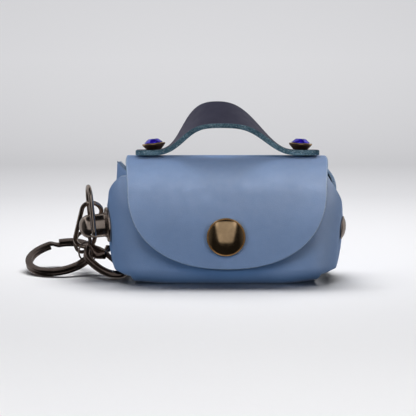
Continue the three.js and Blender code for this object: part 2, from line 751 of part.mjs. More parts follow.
const TOP = STRIP.find((piece) => piece.part === 'top');
const crestAt = (TOP.run * LEATHER.topRise) / LEATHER.topTurn;
const topCrest = alongPiece(TOP, crestAt).z + MIDDLE;
const strapBase = topCrest + GAP + HANDLE.thick / 2 + 0.1;

function strapLift(along) {
  const { archLeft, archRight, archGain } = HANDLE;
  const share = Math.min(Math.abs(along) / (along < 0 ? archLeft : archRight), 1);
  const gained = share ** archGain / (share ** archGain + (1 - share) ** archGain);
  return (1 + Math.cos(Math.PI * gained)) / 2;
}

function strapPoint(across, along) {
  const { archHeight, settle, shift, skew, slip, tiltPower } = HANDLE;
  const lift = strapLift(along);
  const lean = rad(HANDLE.lean) * lift;
  const tilt = rad(lerp(-settle, HANDLE.tilt, lift ** tiltPower));
  return vec(
    shift + along - lift * (slip + skew * across),
    across * Math.cos(tilt) - archHeight * lift * Math.sin(lean),
    strapBase + archHeight * lift * Math.cos(lean) + across * Math.sin(tilt),
  );
}

function strapNormal(across, along) {
  const step = 0.02;
  const wide = strapPoint(across + step, along).sub(strapPoint(across - step, along));
  const long = strapPoint(across, along + step).sub(strapPoint(across, along - step));
  return wide.cross(long).normalize();
}

function strapSolid() {
  const half = HANDLE.rivetHalf + HANDLE.tail;
  const { corner, width } = HANDLE;
  const ends = [0, 0.25, 0.6, 1].map((share) => half - corner + corner * Math.sin((share * Math.PI) / 2));
  const lengths = [...ends.map((x) => -x).reverse()];
  const steps = 28;
  for (let i = 1; i < steps; i++) lengths.push(lerp(-half + corner, half - corner, i / steps));
  lengths.push(...ends);
  const columns = [-1, -0.5, 0, 0.5, 1];
  const points = [];
  const cells = [];
  lengths.forEach((along, j) => {
    const past = Math.max(Math.abs(along) - (half - corner), 0);
    const side = width / 2 - corner + Math.sqrt(Math.max(corner * corner - past * past, 0));
    columns.forEach((share, k) => {
      points.push([share * side, along]);
      if (j === 0 || k === 0) return;
      const here = j * columns.length + k;
      const before = here - columns.length;
      cells.push([before - 1, before, here, here - 1]);
    });
  });
  return thickSheet(points, cells, strapPoint, strapNormal, HANDLE.thick);
}

// The gem rivets stand square on the strap's feet, so they tip with them
const gemRivets = Object.entries(GEM_ROLL).map(([side, roll]) => ({
  side,
  place: vec(HANDLE.shift + (side === 'left' ? -1 : 1) * HANDLE.rivetHalf, 0, strapBase),
  axis: vec(-Math.sin(rad(roll)), Math.sin(rad(HANDLE.settle)), Math.cos(rad(roll))).normalize(),
}));
const postHoles = gemRivets.map(({ place, axis }) => placed(cylinder(GEM.post + GAP, 24, 16), place, axis));
addPiece('handle_strap', cut(strapSolid(), ...postHoles), 'strap');

// Gem rivets: a cup on the strap, a post through strap and leather, a washer inside.
// Their heights run from the middle of the strap's leather.

const cupFloor = HANDLE.thick / 2 + 2 * GAP;
const washerTop = topCrest - LEATHER.thick - 1.5 - strapBase;
const cupProfile = [
  [0, cupFloor + 0.9],
  [GEM.girdle * 0.5, cupFloor + 0.9],
  [GEM.girdle + GAP, cupFloor + GEM.cup],
  [GEM.rim - 0.3, cupFloor + GEM.cup + 0.25],
  [GEM.rim, cupFloor + GEM.cup],
  [GEM.rim * 0.97, cupFloor + GEM.cup - 0.5],
  [GEM.foot, cupFloor],
  [GEM.post, cupFloor],
  [GEM.post, washerTop],
  [GEM.washer, washerTop],
  [GEM.washer, washerTop - 0.8],
  [0, washerTop - 0.8],
];
const gemProfile = [
  [0, cupFloor + 0.9 + GAP],
  [GEM.girdle * 0.5, cupFloor + 0.9 + GAP],
  [GEM.girdle, cupFloor + GEM.cup + GAP],
  [GEM.girdle, cupFloor + GEM.cup + GAP + 0.25],
  [GEM.table, cupFloor + GEM.cup + GAP + GEM.crown],
  [0, cupFloor + GEM.cup + GAP + GEM.crown],
];
for (const { side, place, axis } of gemRivets) {
  addPiece(`gem_setting_${side}`, placed(turned(cupProfile, 20), place, axis), 'bronze');
  addPiece(`gem_${side}`, placed(turned(gemProfile, 10), place, axis), 'gem');
}

// Snap: cap, post and socket on the flap; stud and back plate on the front panel.
// Its heights run outward from the middle of the flap's leather.

const flapFace = LEATHER.thick / 2 + GAP;
const flapInside = -LEATHER.thick / 2 - GAP;
const capProfile = [
  [0, flapFace + SNAP.capRise],
  [SNAP.cap * 0.35, flapFace + SNAP.capRise * 0.95],
  [SNAP.cap * 0.62, flapFace + SNAP.capRise * 0.8],
  [SNAP.cap * 0.82, flapFace + SNAP.capRise * 0.56],
  [SNAP.cap * 0.93, flapFace + SNAP.capRise * 0.3],
  [SNAP.cap, flapFace + 0.35],
  [SNAP.cap, flapFace],
  [SNAP.post, flapFace],
  [SNAP.post, flapInside],
  [SNAP.socket, flapInside],
  [SNAP.socket, flapInside - 0.5],
  [0, flapInside - 0.5],
];
const panelFace = -LEATHER.thick / 2 - LEATHER.flapGap + GAP;
const panelInside = panelFace - GAP - LEATHER.thick - GAP;
const studTop = flapInside - 0.5 - GAP;
const snapStudProfile = [
  [0, studTop],
  [SNAP.stud, studTop],
  [SNAP.stud, panelFace],
  [SNAP.post, panelFace],
  [SNAP.post, panelInside],
  [SNAP.back, panelInside],
  [SNAP.back, panelInside - 0.7],
  [0, panelInside - 0.7],
];
const snapPlace = vec(0, FLAP_Y, SNAP.height);
const outOfFront = vec(0, -1, 0);
addPiece('snap_cap', placed(turned(capProfile, 32), snapPlace, outOfFront), 'bronze');
addPiece('snap_stud', placed(turned(snapStudProfile, 20), snapPlace, outOfFront), 'bronze');

// The leather, with the holes that its rivets, stud and snap go through

const leatherHoles = [
  ...postHoles,
  placed(cylinder(SIDE_RIVET.post + GAP, 16), rightSeat.point, rightSeat.outward),
  placed(cylinder(STUD.post + GAP, 16), leftSeat.point, leftSeat.outward),
  placed(cylinder(SNAP.post + GAP, 14), snapPlace, outOfFront),
];
addPiece('purse_body', cut(foldedLeather(), ...leatherHoles), 'leather');

export default group;
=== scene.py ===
# Keychain coin purse: smooth leather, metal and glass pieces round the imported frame.
# The sizes below repeat the CAD's, in millimetres; meshes are made in metres.
from math import ceil, copysign, cos, pi, radians, sin, sqrt, tan
from types import SimpleNamespace as Sizes

import bmesh
import bpy
from mathutils import Color, Matrix, Vector, noise


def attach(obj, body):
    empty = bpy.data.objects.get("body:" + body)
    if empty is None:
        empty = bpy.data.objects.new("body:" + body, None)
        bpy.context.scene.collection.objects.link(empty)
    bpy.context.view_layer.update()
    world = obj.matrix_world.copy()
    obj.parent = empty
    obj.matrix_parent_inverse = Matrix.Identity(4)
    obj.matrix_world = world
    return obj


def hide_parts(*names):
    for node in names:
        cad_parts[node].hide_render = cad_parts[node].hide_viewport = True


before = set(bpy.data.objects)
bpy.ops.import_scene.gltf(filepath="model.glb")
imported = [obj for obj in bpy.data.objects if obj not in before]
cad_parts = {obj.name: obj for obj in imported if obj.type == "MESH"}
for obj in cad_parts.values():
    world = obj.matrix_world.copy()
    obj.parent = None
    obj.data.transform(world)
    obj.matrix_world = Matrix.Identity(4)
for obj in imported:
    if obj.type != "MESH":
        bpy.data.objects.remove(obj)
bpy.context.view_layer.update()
MM = 0.001

# Sizes that the CAD also has

GAP = 0.3

LEATHER = Sizes(
    thick=1.6, half_depth=17, strip_half=38, top_flare=1, top_shift=0.4, bottom_half=35, bottom_fold=5,
    lip_height=29, lip_run=14, lip_lean=22, back_height=43.6, back_fold=2.6, top_rise=12, top_turn=15.5,
    front_fold=14, bow_run=15, bow_turn=12, flap_gap=2.2, flap_tip=7.3, flap_round=30.8, flap_power=2.3,
    curl_left=1.3, curl_right=2.2, curl_from=20, curl_to=42, curl_fade=14, wing_gap=1.6,
)
BENDS = {
    "front": Sizes(start=32.9, radius=11, turn=80, lean=5, tuck=4),
    "back": Sizes(start=33.5, radius=10, turn=100, lean=0, tuck=3),
}
EAR = Sizes(turn=14, inset=1.2, start=26, end=42)
EAR_TOP = Sizes(dip=3, dip_from=38, dip_to=47, rise=2.4, rise_from=44, peak=49, fall_to=61)
RIVET_HEIGHT = 21.6
RIVET_DEPTH = -1
WINGS = [
    Sizes(panel="front", side=-1, reach=27, upper=1.12, lower=2.7),
    Sizes(panel="front", side=1, reach=27, upper=0.8, lower=2.4),
    Sizes(panel="back", side=-1, reach=26, upper=20, lower=2.2),
    Sizes(panel="back", side=1, reach=26, upper=1.1, lower=2.2),
]
WING_TOP_SHARE = 0.97
WING_FOOT_SHARE = 0.999
WING_FOOT = 2.4
FLAP_TIP_SHARE = 0.03
HANDLE = Sizes(
    thick=2, width=16, shift=0.7, rivet_half=28.6, tail=7, corner=3, arch_left=29, arch_right=27,
    arch_height=18.4, arch_gain=1.2, lean=32, tilt=28, settle=4.5, tilt_power=1.3, slip=3, skew=0.13,
    clear=0.1,
)
SNAP = Sizes(
    height=19.7, cap=7.5, cap_rise=2.6, socket=4.5, socket_thick=0.5, stud=3.2, back=5, back_thick=0.7,
)
GEM = Sizes(
    rim=4.6, cup=1.8, floor=0.9, foot=2.8, girdle=3.6, table=1.9, crown=1.6, washer=4, washer_thick=0.8,
    washer_drop=1.5,
)
GEM_ROLL = {"left": 6, "right": -3}
SIDE_RIVET = Sizes(cap=4.6, rise=1.6, back=4.2, back_thick=0.9, drop=1.2)
STUD = Sizes(flange=6.9, flange_thick=1.2, head=4.65, length=10.6, dome=4, back=5, back_thick=1.1)
DRING = Sizes(
    wire=0.9, half_width=6.5, height=18.4, corner=1.6, bar_drop=2.7, bar_from_tip=5.2, lean=5, hole=1.2,
)
LINK = Sizes(wire=0.9, length=24, width=9.5, tilt=13.6, lean=27.8, place=(-54.89, 6.96, 20.1))
JUMP = Sizes(wire=0.35, radius=4.1, place=(-55.49, 11.46, 8.4), facing=(0.536, -0.827, 0.169))
SPLIT = Sizes(
    outer=14, inner=11.4, coil=1.25, pitch=1.5, jog=9, jog_at=105, place=(-66.94, 13.06, 6.05),
    facing=(-0.144, -0.299, 0.943),
)
CLASP = Sizes(
    eye_hole=3.2, eye_wire=0.75, eye_turn=-34, length=26.5, half_width=6, rod=1.5, base=9.5, pin_side=2.6,
    pin=0.6, slot=1.25, slot_from_pin=(3.2, 1.2), slot_half=(6, 3.1), lever=0.95,
    axis=(0.666, -0.622, -0.413), roll=20, place=(-57.54, 11.1, 12.4),
)

# Sizes that only the finished look has

LOOK = Sizes(
    row_step=1.1,  # spacing of the leather grid along the strip
    columns=64,
    wing_columns=24,
    edge_step=0.45,  # last step before a cut edge
    edge_bulge=0.28,  # how far a cut edge rounds out
    wave=0.16,  # slow unevenness of the leather
    wave_length=19,
    lever_trim=0.15,  # keeps the clasp's lever clear of that unevenness
    cup_gap=0.05,  # a gem cup's foot over the flat strap
    snap_bead=0.55,  # rolled rims of the domed caps
    rivet_bead=0.4,
    stud_groove=0.22,
)


# Small helpers

def lerp(a, b, share):
    return a + (b - a) * share


def smoothstep(value, low, high):
    share = min(max((value - low) / (high - low), 0), 1)
    return share * share * (3 - 2 * share)


def hump(value, start, peak, end):
    return smoothstep(value, start, peak) - smoothstep(value, peak, end)


def unit(vector):
    return Vector(vector).normalized()


def moved(shape, turn, position):
    """A shape, which is its (points, faces), turned and then put at a place."""
    points, faces = shape
    return [turn @ Vector(p) + Vector(position) for p in points], faces


def placed(shape, position, axis):
    """A shape that stands along +Z, turned to an axis at a place."""
    return moved(shape, Vector((0, 0, 1)).rotation_difference(unit(axis)).to_matrix(), position)


def framed(shape, position, x_axis, y_axis):
    """A shape put into a frame with the given X and Y directions."""
    x = unit(x_axis)
    z = x.cross(Vector(y_axis)).normalized()
    return moved(shape, Matrix((x, z.cross(x), z)).transposed(), position)


def new_object(name, data):
    obj = bpy.data.objects.new(name, data)
    bpy.context.scene.collection.objects.link(obj)
    return obj


def mesh_object(name, shape, materials, kinds=None, sharp=None):
    """A mesh object from a shape in millimetres, facing out; edges over the sharp angle stay crisp."""
    points, faces = shape
    mesh = bpy.data.meshes.new(name)
    mesh.from_pydata([tuple(MM * c for c in p) for p in points], [], faces)
    for material in materials:
        mesh.materials.append(material)
    if kinds is not None:
        mesh.polygons.foreach_set("material_index", kinds)
    shell = bmesh.new()
    shell.from_mesh(mesh)
    bmesh.ops.recalc_face_normals(shell, faces=shell.faces)
    shell.to_mesh(mesh)
    shell.free()
    finish_shading(mesh, sharp)
    return new_object(name, mesh)


def finish_shading(mesh, sharp):
    mesh.shade_smooth()
    if sharp is not None:
        mesh.set_sharp_from_angle(angle=radians(sharp))


def stands_for(obj, body, slot, *nodes):
    """Makes a finished piece ride on a body in place of CAD nodes."""
    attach(obj, body)
    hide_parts(*nodes)


def purse_piece(name, shape, material, slot, node, sharp=None):
    """A piece of one material that rides on the purse in place of a CAD node."""
    stands_for(mesh_object(name, shape, [material], sharp=sharp), "purse", slot, node)


def apply_modifiers(obj):
    graph = bpy.context.evaluated_depsgraph_get()
    mesh = bpy.data.meshes.new_from_object(obj.evaluated_get(graph))
    obj.modifiers.clear()
    obj.data = mesh


def cut_away(obj, shape, sharp):
    """Takes a shape out of a piece, with a cutter that is then dropped."""
    cutter = mesh_object("cutter", shape, obj.data.materials)
    tool = obj.modifiers.new("cut", "BOOLEAN")
    tool.operation = "DIFFERENCE"
    tool.solver = "EXACT"
    tool.object = cutter
    apply_modifiers(obj)
    bpy.data.objects.remove(cutter)
    finish_shading(obj.data, sharp)


# Shape makers

def circle(count, turn=0):
    """Evenly spaced points of a unit circle."""
    angles = [2 * pi * (k + turn) / count for k in range(count)]
    return [(cos(angle), sin(angle)) for angle in angles]


def lathe(profile, segments):
    """A solid of revolution about +Z from (radius, height) pairs that start and end on the axis."""
    points, faces, rings = [], [], []
    for radius, height in profile:
        count = 1 if radius < 1e-6 else segments
        rings.append(range(len(points), len(points) + count))
        points += [(radius * x, radius * y, height) for x, y in circle(segments)[:count]]
    for a, b in zip(rings, rings[1:]):
        for k in range(segments):
            n = (k + 1) % segments
            corners = (a[k % len(a)], b[k % len(b)], b[n % len(b)], a[n % len(a)])
            faces.append(tuple(dict.fromkeys(corners)))  # on the axis two corners are one
    return points, faces


def filleted(profile, radius):
    """A profile with its corners rounded, apart from its two ends."""
    steps = 5
    most = 0.45  # share of a side that a corner may take
    spots = [Vector(p) for p in profile]
    rounded = [profile[0]]
    for before, corner, after in zip(spots, spots[1:], spots[2:]):
        start = corner + (before - corner) * min(radius / (before - corner).length, most)
        end = corner + (after - corner) * min(radius / (after - corner).length, most)
        for i in range(steps + 1):
            t = i / steps
            rounded.append(tuple(start * (1 - t) ** 2 + corner * 2 * t * (1 - t) + end * t * t))
    return rounded + [profile[-1]]


def loft(loops, ring=False):
    """A body through section loops of the same count; its ends are capped unless it is a ring."""
    count = len(loops[0])
    points = [p for loop in loops for p in loop]
    faces = []
    for i in range(len(loops) if ring else len(loops) - 1):
        here, there = i * count, (i + 1) % len(loops) * count
        for k in range(count):
            n = (k + 1) % count
            faces.append((here + k, there + k, there + n, here + n))
    if not ring:
        last = range(len(points) - count, len(points))
        faces += [tuple(range(count)), tuple(reversed(last))]
    return points, faces


def oval(centre, across, half_across, half_along, sides):
    """A section in the plane of `across` and +Z."""
    wide = Vector(across) * half_across
    return [Vector(centre) + wide * x + Vector((0, 0, half_along * y)) for x, y in circle(sides)]


def wire_loop(outline, wire, sides=18):
    """A round wire along a closed outline in the XY plane."""
    loops = []
    for before, here, after in zip(outline[-1:] + outline[:-1], outline, outline[1:] + outline[:1]):
        across = Vector((after[1] - before[1], before[0] - after[0], 0)).normalized()
        loops.append(oval((here[0], here[1], 0), across, wire, wire, sides))
    return loft(loops, ring=True)


def arc(x, y, radius, start, end, steps):
    turns = [radians(lerp(start, end, i / steps)) for i in range(steps)]
    return [(x + radius * cos(turn), y + radius * sin(turn)) for turn in turns]


def line(start, end, steps):
    return [(lerp(start[0], end[0], i / steps), lerp(start[1], end[1], i / steps)) for i in range(steps)]


def curve_through(pairs, steps):
    """Evenly shared points on a smooth flat curve through pairs, with the tangent at each."""
    knots = [Vector((x, y, 0)) for x, y in pairs]
    knots = [2 * knots[0] - knots[1]] + knots + [2 * knots[-1] - knots[-2]]
    found = []
    for i in range(steps + 1):
        at = min(i / steps * (len(pairs) - 1), len(pairs) - 1.0001)
        k = int(at)
        t = at - k
        a, b, c, d = knots[k:k + 4]
        point = b + 0.5 * t * (c - a + t * (2 * a - 5 * b + 4 * c - d + t * (3 * (b - c) + d - a)))
        tangent = 0.5 * (c - a + t * (2 * (2 * a - 5 * b + 4 * c - d) + 3 * t * (3 * (b - c) + d - a)))
        found.append((point, tangent.normalized()))
    return found


def rod(pairs, steps, size_at):
    """A rod along a flat curve, with a half-width and a half-thickness at each share of its length."""
    sides = 20
    loops = []
    for i, (point, tangent) in enumerate(curve_through(pairs, steps)):
        half, thick = size_at(i / steps)
        loops.append(oval(point, (tangent.y, -tangent.x, 0), half, thick, sides))
    return loft(loops)


def merged(*shapes):
    points, faces = [], []
    for more_points, more_faces in shapes:
        start = len(points)
        points += list(more_points)
        faces += [tuple(start + i for i in face) for face in more_faces]
    return points, faces


# Materials: every one has its own colour variation, roughness variation and bump

def feed(tree, socket, value):
    if isinstance(value, bpy.types.NodeSocket):
        tree.links.new(value, socket)
    else:
        socket.default_value = value


def add(tree, kind, inputs=None, **settings):
    node = tree.nodes.new("ShaderNode" + kind)
    for key, value in settings.items():
        setattr(node, key, value)
    for key, value in (inputs or {}).items():
        feed(tree, node.inputs[key], value)
    return node


def new_material(name):
    material = bpy.data.materials.new(name)
    material.use_nodes = True
    return material, material.node_tree


def surface(material, inputs):
    """Feeds a material's own shader."""
    tree = material.node_tree
    for key, value in inputs.items():
        feed(tree, tree.nodes["Principled BSDF"].inputs[key], value)
    return material


def own_place(tree):
    """A point's place in its object's own metres."""
    return add(tree, "TexCoord").outputs["Object"]


def noise_of(tree, scale, detail, stretch=(1, 1, 1), roughness=0.5):
    """Noise with a scale in features per metre."""
    mapped = add(tree, "Mapping", {"Vector": own_place(tree), "Scale": stretch}).outputs["Vector"]
    inputs = {"Vector": mapped, "Scale": scale, "Detail": detail, "Roughness": roughness}
    return add(tree, "TexNoise", inputs).outputs["Fac"]


def cells_of(tree, scale):
    inputs = {"Vector": own_place(tree), "Scale": scale}
    return add(tree, "TexVoronoi", inputs).outputs["Distance"]


def between(tree, value, low, high, to_low=0.0, to_high=1.0):
    inputs = {"Value": value, "From Min": low, "From Max": high, "To Min": to_low, "To Max": to_high}
    return add(tree, "MapRange", inputs).outputs["Result"]


def patches(tree, scale, detail, low=0.0, high=1.0):
    """Noise spread over a range of values."""
    return between(tree, noise_of(tree, scale, detail), 0.3, 0.7, low, high)


def mix(tree, share, first, second):
    return add(tree, "Mix", {0: share, 6: first, 7: second}, data_type="RGBA").outputs[2]


def combine(tree, operation, first, second):
    return add(tree, "Math", {0: first, 1: second}, operation=operation).outputs[0]


def times(tree, first, second):
    return combine(tree, "MULTIPLY", first, second)


def weighted(tree, first, second, share):
    """A share of the first value and the rest of the second."""
    return combine(tree, "ADD", times(tree, first, share), times(tree, second, 1 - share))


def bump(tree, height, strength, distance, under=None):
    inputs = {"Height": height, "Strength": strength, "Distance": distance}
    if under is not None:
        inputs["Normal"] = under
    return add(tree, "Bump", inputs).outputs["Normal"]


def rgb(*srgb):
    """A linear colour from sRGB values of 0 to 255."""
    return (*Color([c / 255 for c in srgb]).from_srgb_to_scene_linear(), 1)


def grain_leather(name, light, dark, edge, roughness, shine, grain):
    """Smooth dyed leather: slow blotches, fine pebbled grain, faint creases, paler along its cut edges."""
    material, tree = new_material(name)
    tone = mix(tree, patches(tree, 55, 4), dark, light)
    pores = between(tree, cells_of(tree, 2100), 0.0, 0.5)
    fine = weighted(tree, pores, noise_of(tree, 5200, 2), 0.5)
    tone = mix(tree, between(tree, fine, 0.2, 0.8, 0.0, 0.35), tone, dark)
    worn = add(tree, "Attribute", attribute_name="edge").outputs["Fac"]
    rubbed = times(tree, worn, between(tree, noise_of(tree, 900, 2), 0.25, 0.7, 0.35, 0.85))
    crease = noise_of(tree, 240, 4, stretch=(0.6, 1, 1.5), roughness=0.6)
    return surface(material, {
        "Base Color": mix(tree, rubbed, tone, edge),
        "Roughness": patches(tree, 320, 5, roughness - 0.06, roughness + 0.07),
        "Normal": bump(tree, fine, grain, 0.00009, bump(tree, crease, 0.12, 0.0004)),
        "Specular IOR Level": shine,
    })


def raw_leather(name, light, dark, fibre, scale=1500):
    """The flesh side or a cut edge: matt, with short pale fibres."""
    material, tree = new_material(name)
    fuzz = noise_of(tree, scale, 5, roughness=0.7)
    tone = mix(tree, between(tree, fuzz, 0.4, 0.6), dark, mix(tree, patches(tree, 180, 4), dark, light))
    strand = between(tree, noise_of(tree, scale * 1.6, 3), 0.6, 0.75)
    return surface(material, {
        "Base Color": mix(tree, strand, tone, fibre),
        "Roughness": between(tree, fuzz, 0.3, 0.7, 0.8, 0.95),
        "Normal": bump(tree, fuzz, 0.6, 0.00018),
        "Specular IOR Level": 0.2,
    })


def plated_metal(name, light, dark, roughness):
    """Polished plate: slow tone changes, darker patina spots, hairline scratches and rubbed edges."""
    material, tree = new_material(name)
    patina = between(tree, noise_of(tree, 210, 4), 0.3, 0.72, 0.0, 0.5)
    ridge = add(tree, "NewGeometry").outputs["Pointiness"]
    rubbed = between(tree, ridge, 0.52, 0.6, 0.0, 0.6)
    hair = noise_of(tree, 900, 2, stretch=(1, 9, 5))
    mottle = weighted(tree, hair, noise_of(tree, 600, 4), 0.4)
    uneven = bump(tree, noise_of(tree, 260, 3), 0.12, 0.0003)
    return surface(material, {
        "Base Color": mix(tree, rubbed, mix(tree, patina, light, dark), light),
        "Metallic": 1.0,
        "Roughness": between(tree, mottle, 0.3, 0.7, roughness - 0.06, roughness + 0.08),
        "Normal": bump(tree, hair, 0.06, 0.00004, uneven),
    })


def foiled_glass(name, bright, deep):
    """Faceted glass over foil: clear coat over a deep coloured mirror, with small clouds inside."""
    material, tree = new_material(name)
    cloud = between(tree, noise_of(tree, 700, 3), 0.35, 0.65)
    return surface(material, {
        "Base Color": mix(tree, cloud, deep, bright),
        "Metallic": 0.6,
        "Roughness": patches(tree, 1500, 2, 0.05, 0.14),
        "Normal": bump(tree, noise_of(tree, 800, 2), 0.04, 0.0002),
        "Coat Weight": 1.0,
        "Coat Roughness": 0.03,
    })


BLUE = grain_leather(
    "blue_leather", rgb(90, 125, 173), rgb(81, 114, 160), rgb(150, 168, 194), 0.74, 0.9, 0.5,
)
# Flesh side: its own duller tone, darkened further as painted shade for the shaded inside of the purse
BLUE_BACK = raw_leather("blue_leather_flesh", rgb(84, 104, 126), rgb(62, 80, 100), rgb(120, 138, 152))
BLUE_EDGE = raw_leather("blue_leather_edge", rgb(148, 168, 194), rgb(104, 130, 162), rgb(184, 198, 214))
DARK = grain_leather("dark_leather", rgb(75, 74, 91), rgb(61, 60, 75), rgb(92, 108, 122), 0.6, 0.25, 0.2)
DARK_EDGE = raw_leather("dark_leather_edge", rgb(132, 164, 178), rgb(58, 84, 98), rgb(196, 212, 220), 1700)
BRONZE = plated_metal("antique_bronze", rgb(238, 203, 158), rgb(143, 114, 85), 0.15)
GUNMETAL = plated_metal("gunmetal", rgb(200, 184, 172), rgb(122, 106, 96), 0.18)
STEEL = plated_metal("dark_steel", rgb(134, 118, 110), rgb(72, 62, 57), 0.2)
GLASS = foiled_glass("violet_glass", rgb(72, 40, 255), rgb(36, 17, 176))


# The leather strip seen from the side: front lip, front, bottom, back, top and flap, in that order

FLAP_Y = -LEATHER.half_depth - LEATHER.thick - LEATHER.flap_gap
MIDDLE = LEATHER.thick / 2


def along_piece(piece, distance):
    bend = radians(piece.turn) / piece.run
    heading = piece.heading + bend * distance
    if piece.turn == 0:
        return piece.y + distance * cos(heading), piece.z + distance * sin(heading), heading
    y = piece.y + (sin(heading) - sin(piece.heading)) / bend
    z = piece.z + (cos(piece.heading) - cos(heading)) / bend
    return y, z, heading


def strip_pieces():
    size = LEATHER
    lip_radius = size.lip_run / radians(size.lip_lean)
    lean = radians(size.lip_lean)
    y = -size.half_depth + lip_radius * (1 - cos(lean))
    z = size.lip_height + lip_radius * sin(lean)
    heading = -pi / 2 - lean
    over = 90 - size.top_rise
    down = 90 + size.top_rise - size.top_turn
    top_from = size.half_depth - size.back_fold * (1 - cos(radians(over)))
    bow = radians(size.bow_turn)
    bow_depth = size.bow_run / bow * (1 - cos(bow))
    top_to = FLAP_Y + bow_depth + size.front_fold * (cos(bow) - cos(radians(down)))
    fold = down - size.bow_turn
    top_bend = sin(radians(size.top_rise)) + sin(radians(size.top_turn - size.top_rise))
    top_run = (top_from - top_to) * radians(size.top_turn) / top_bend
    table = [
        ("lip", "front", size.lip_run, size.lip_lean),
        ("front", "front", size.lip_height - MIDDLE - size.bottom_fold, 0),
        ("front_fold", "front", size.bottom_fold * pi / 2, 90),
        ("bottom", "bottom", 2 * (size.half_depth - size.bottom_fold), 0),
        ("back_fold", "back", size.bottom_fold * pi / 2, 90),
        ("back", "back", size.back_height - MIDDLE - size.bottom_fold, 0),
        ("back_top", "back", size.back_fold * radians(over), over),
        ("top", "top", top_run, size.top_turn),
        ("front_top", "flap", size.front_fold * radians(fold), fold),
        ("flap_bow", "flap", size.bow_run, size.bow_turn),
        ("flap", "flap", None, 0),
    ]
    pieces = []
    start = 0
    for part, panel, run, turn in table:
        run = z - size.flap_tip if run is None else run
        piece = Sizes(part=part, panel=panel, run=run, turn=turn, start=start, y=y, z=z, heading=heading)
        pieces.append(piece)
        y, z, heading = along_piece(piece, run)
        start += run
    return pieces


STRIP = strip_pieces()
FLAP_END = STRIP[-1].start + STRIP[-1].run
STARTS = {piece.part: piece.start for piece in STRIP}


def piece_at(s):
    return next((piece for piece in STRIP if s < piece.start + piece.run), STRIP[-1])


def bend_share(piece, distance):
    """How much of the side bend a row has: all on the panels, none on the bottom, the top and the flap."""
    share = distance / piece.run
    by_part = {
        "lip": 1,
        "front": 1,
        "front_fold": 1 - smoothstep(share, 0.3, 1),
        "back_fold": smoothstep(share, 0, 0.7),
        "back": 1,
        "back_top": 1 - smoothstep(share, 0, 1),
    }
    return by_part.get(piece.part, 0)


def strip_half_at(piece, distance):
    """Half the width of the strip itself at a row."""
    share = smoothstep(distance / piece.run, 0, 1)
    narrowing = {"front_fold": share, "bottom": 1, "back_fold": 1 - share}
    if piece.part in narrowing:
        return lerp(LEATHER.strip_half, LEATHER.bottom_half, narrowing[piece.part])
    s = piece.start + distance
    on_top = smoothstep(s, STARTS["back_top"], STARTS["top"])
    on_top -= smoothstep(s, STARTS["front_top"], STARTS["flap_bow"])
    into_round = (s - (FLAP_END - LEATHER.flap_round)) / LEATHER.flap_round
    if into_round <= 0:
        return LEATHER.strip_half + LEATHER.top_flare * on_top
    left = max(1 - into_round ** LEATHER.flap_power, 0) ** (1 / LEATHER.flap_power)
    return LEATHER.strip_half * max(left, FLAP_TIP_SHARE)


def ear_top(flat):
    """How far the back left wing's top edge lies over or under the panel's."""
    middle = (EAR_TOP.dip_from + EAR_TOP.dip_to) / 2
    dip = EAR_TOP.dip * hump(flat, EAR_TOP.dip_from, middle, EAR_TOP.dip_to)
    return EAR_TOP.rise * hump(flat, EAR_TOP.rise_from, EAR_TOP.peak, EAR_TOP.fall_to) - dip


# The wings keep standing upright where their panel bends under
UPRIGHT = {"front_fold": -pi / 2, "back_fold": pi / 2}


def folded_point(p, s):
    """Where a point of the flat leather goes when it is folded up: p runs across, s along the strip."""
    piece = piece_at(s)
    distance = s - piece.start
    y, z, heading = along_piece(piece, distance)
    share = bend_share(piece, distance)
    flat = abs(p)
    on_ear = p < 0 and piece.part in ("back", "back_top")
    ear = smoothstep(z, EAR.start, EAR.end) if on_ear else 0
    x, inward = flat, 0
    if share > 0:
        bend = BENDS[piece.panel]
        start = bend.start - EAR.inset * ear
        past = max(flat - start, 0)
        turn = radians(bend.turn + EAR.turn * ear)
        angle = min(past / bend.radius, turn)
        straight = max(past - bend.radius * turn, 0)
        bent = min(flat, start) + bend.radius * sin(angle) + straight * cos(angle)
        x = lerp(flat, bent, share)
        inward = share * (bend.radius * (1 - cos(angle)) + straight * sin(angle))
    facing = UPRIGHT.get(piece.part, heading)
    y -= inward * sin(facing)
    z += inward * cos(facing)
    if not piece.part.startswith("flap"):
        curl = smoothstep(x, LEATHER.curl_from, LEATHER.curl_to)
        lift = LEATHER.curl_left if p < 0 else LEATHER.curl_right
        z += lift * curl * (1 - smoothstep(z, 0, LEATHER.curl_fade))
    if share > 0:
        on_wing = smoothstep(x, bend.start, bend.start + bend.radius)
        slope = tan(radians(bend.lean if z > RIVET_HEIGHT else bend.tuck))
        x += share * on_wing * slope * (z - RIVET_HEIGHT)
    z += ear * ear_top(flat)
    shift = LEATHER.top_shift * smoothstep(s, STARTS["back_top"], STARTS["front_top"])
    return Vector((copysign(x, p) + shift, y, z))


def sheet_normal(point_of, p, s):
    step = 0.02
    across = point_of(p + step, s) - point_of(p - step, s)
    along = point_of(p, s + step) - point_of(p, s - step)
    return across.cross(along).normalized()


def grid_rows():
    """Rows along the strip, closer together where a cut edge ends them."""
    rows = []
    for piece in STRIP:
        count = ceil(piece.run / LOOK.row_step)
        shares = [i / count for i in range(count)]
        if piece.part == "lip":
            shares.insert(1, LOOK.edge_step / piece.run)
        if piece.part == "flap":
            shares = [sin(i / count * pi / 2) for i in range(count + 1)]
        for i, share in enumerate(shares):
            distance = share * piece.run
            half = strip_half_at(piece, distance)
            z = along_piece(piece, distance)[1]
            on_panel = piece.part in ("lip", "front", "back")
            starts = piece.part == "back_top" and i == 0
            bends_under = piece.part.endswith("_fold") and z > WING_FOOT
            panel = piece.panel if on_panel or starts or bends_under else ""
            rows.append(Sizes(s=piece.start + distance, half=half, panel=panel, z=z))
    return rows


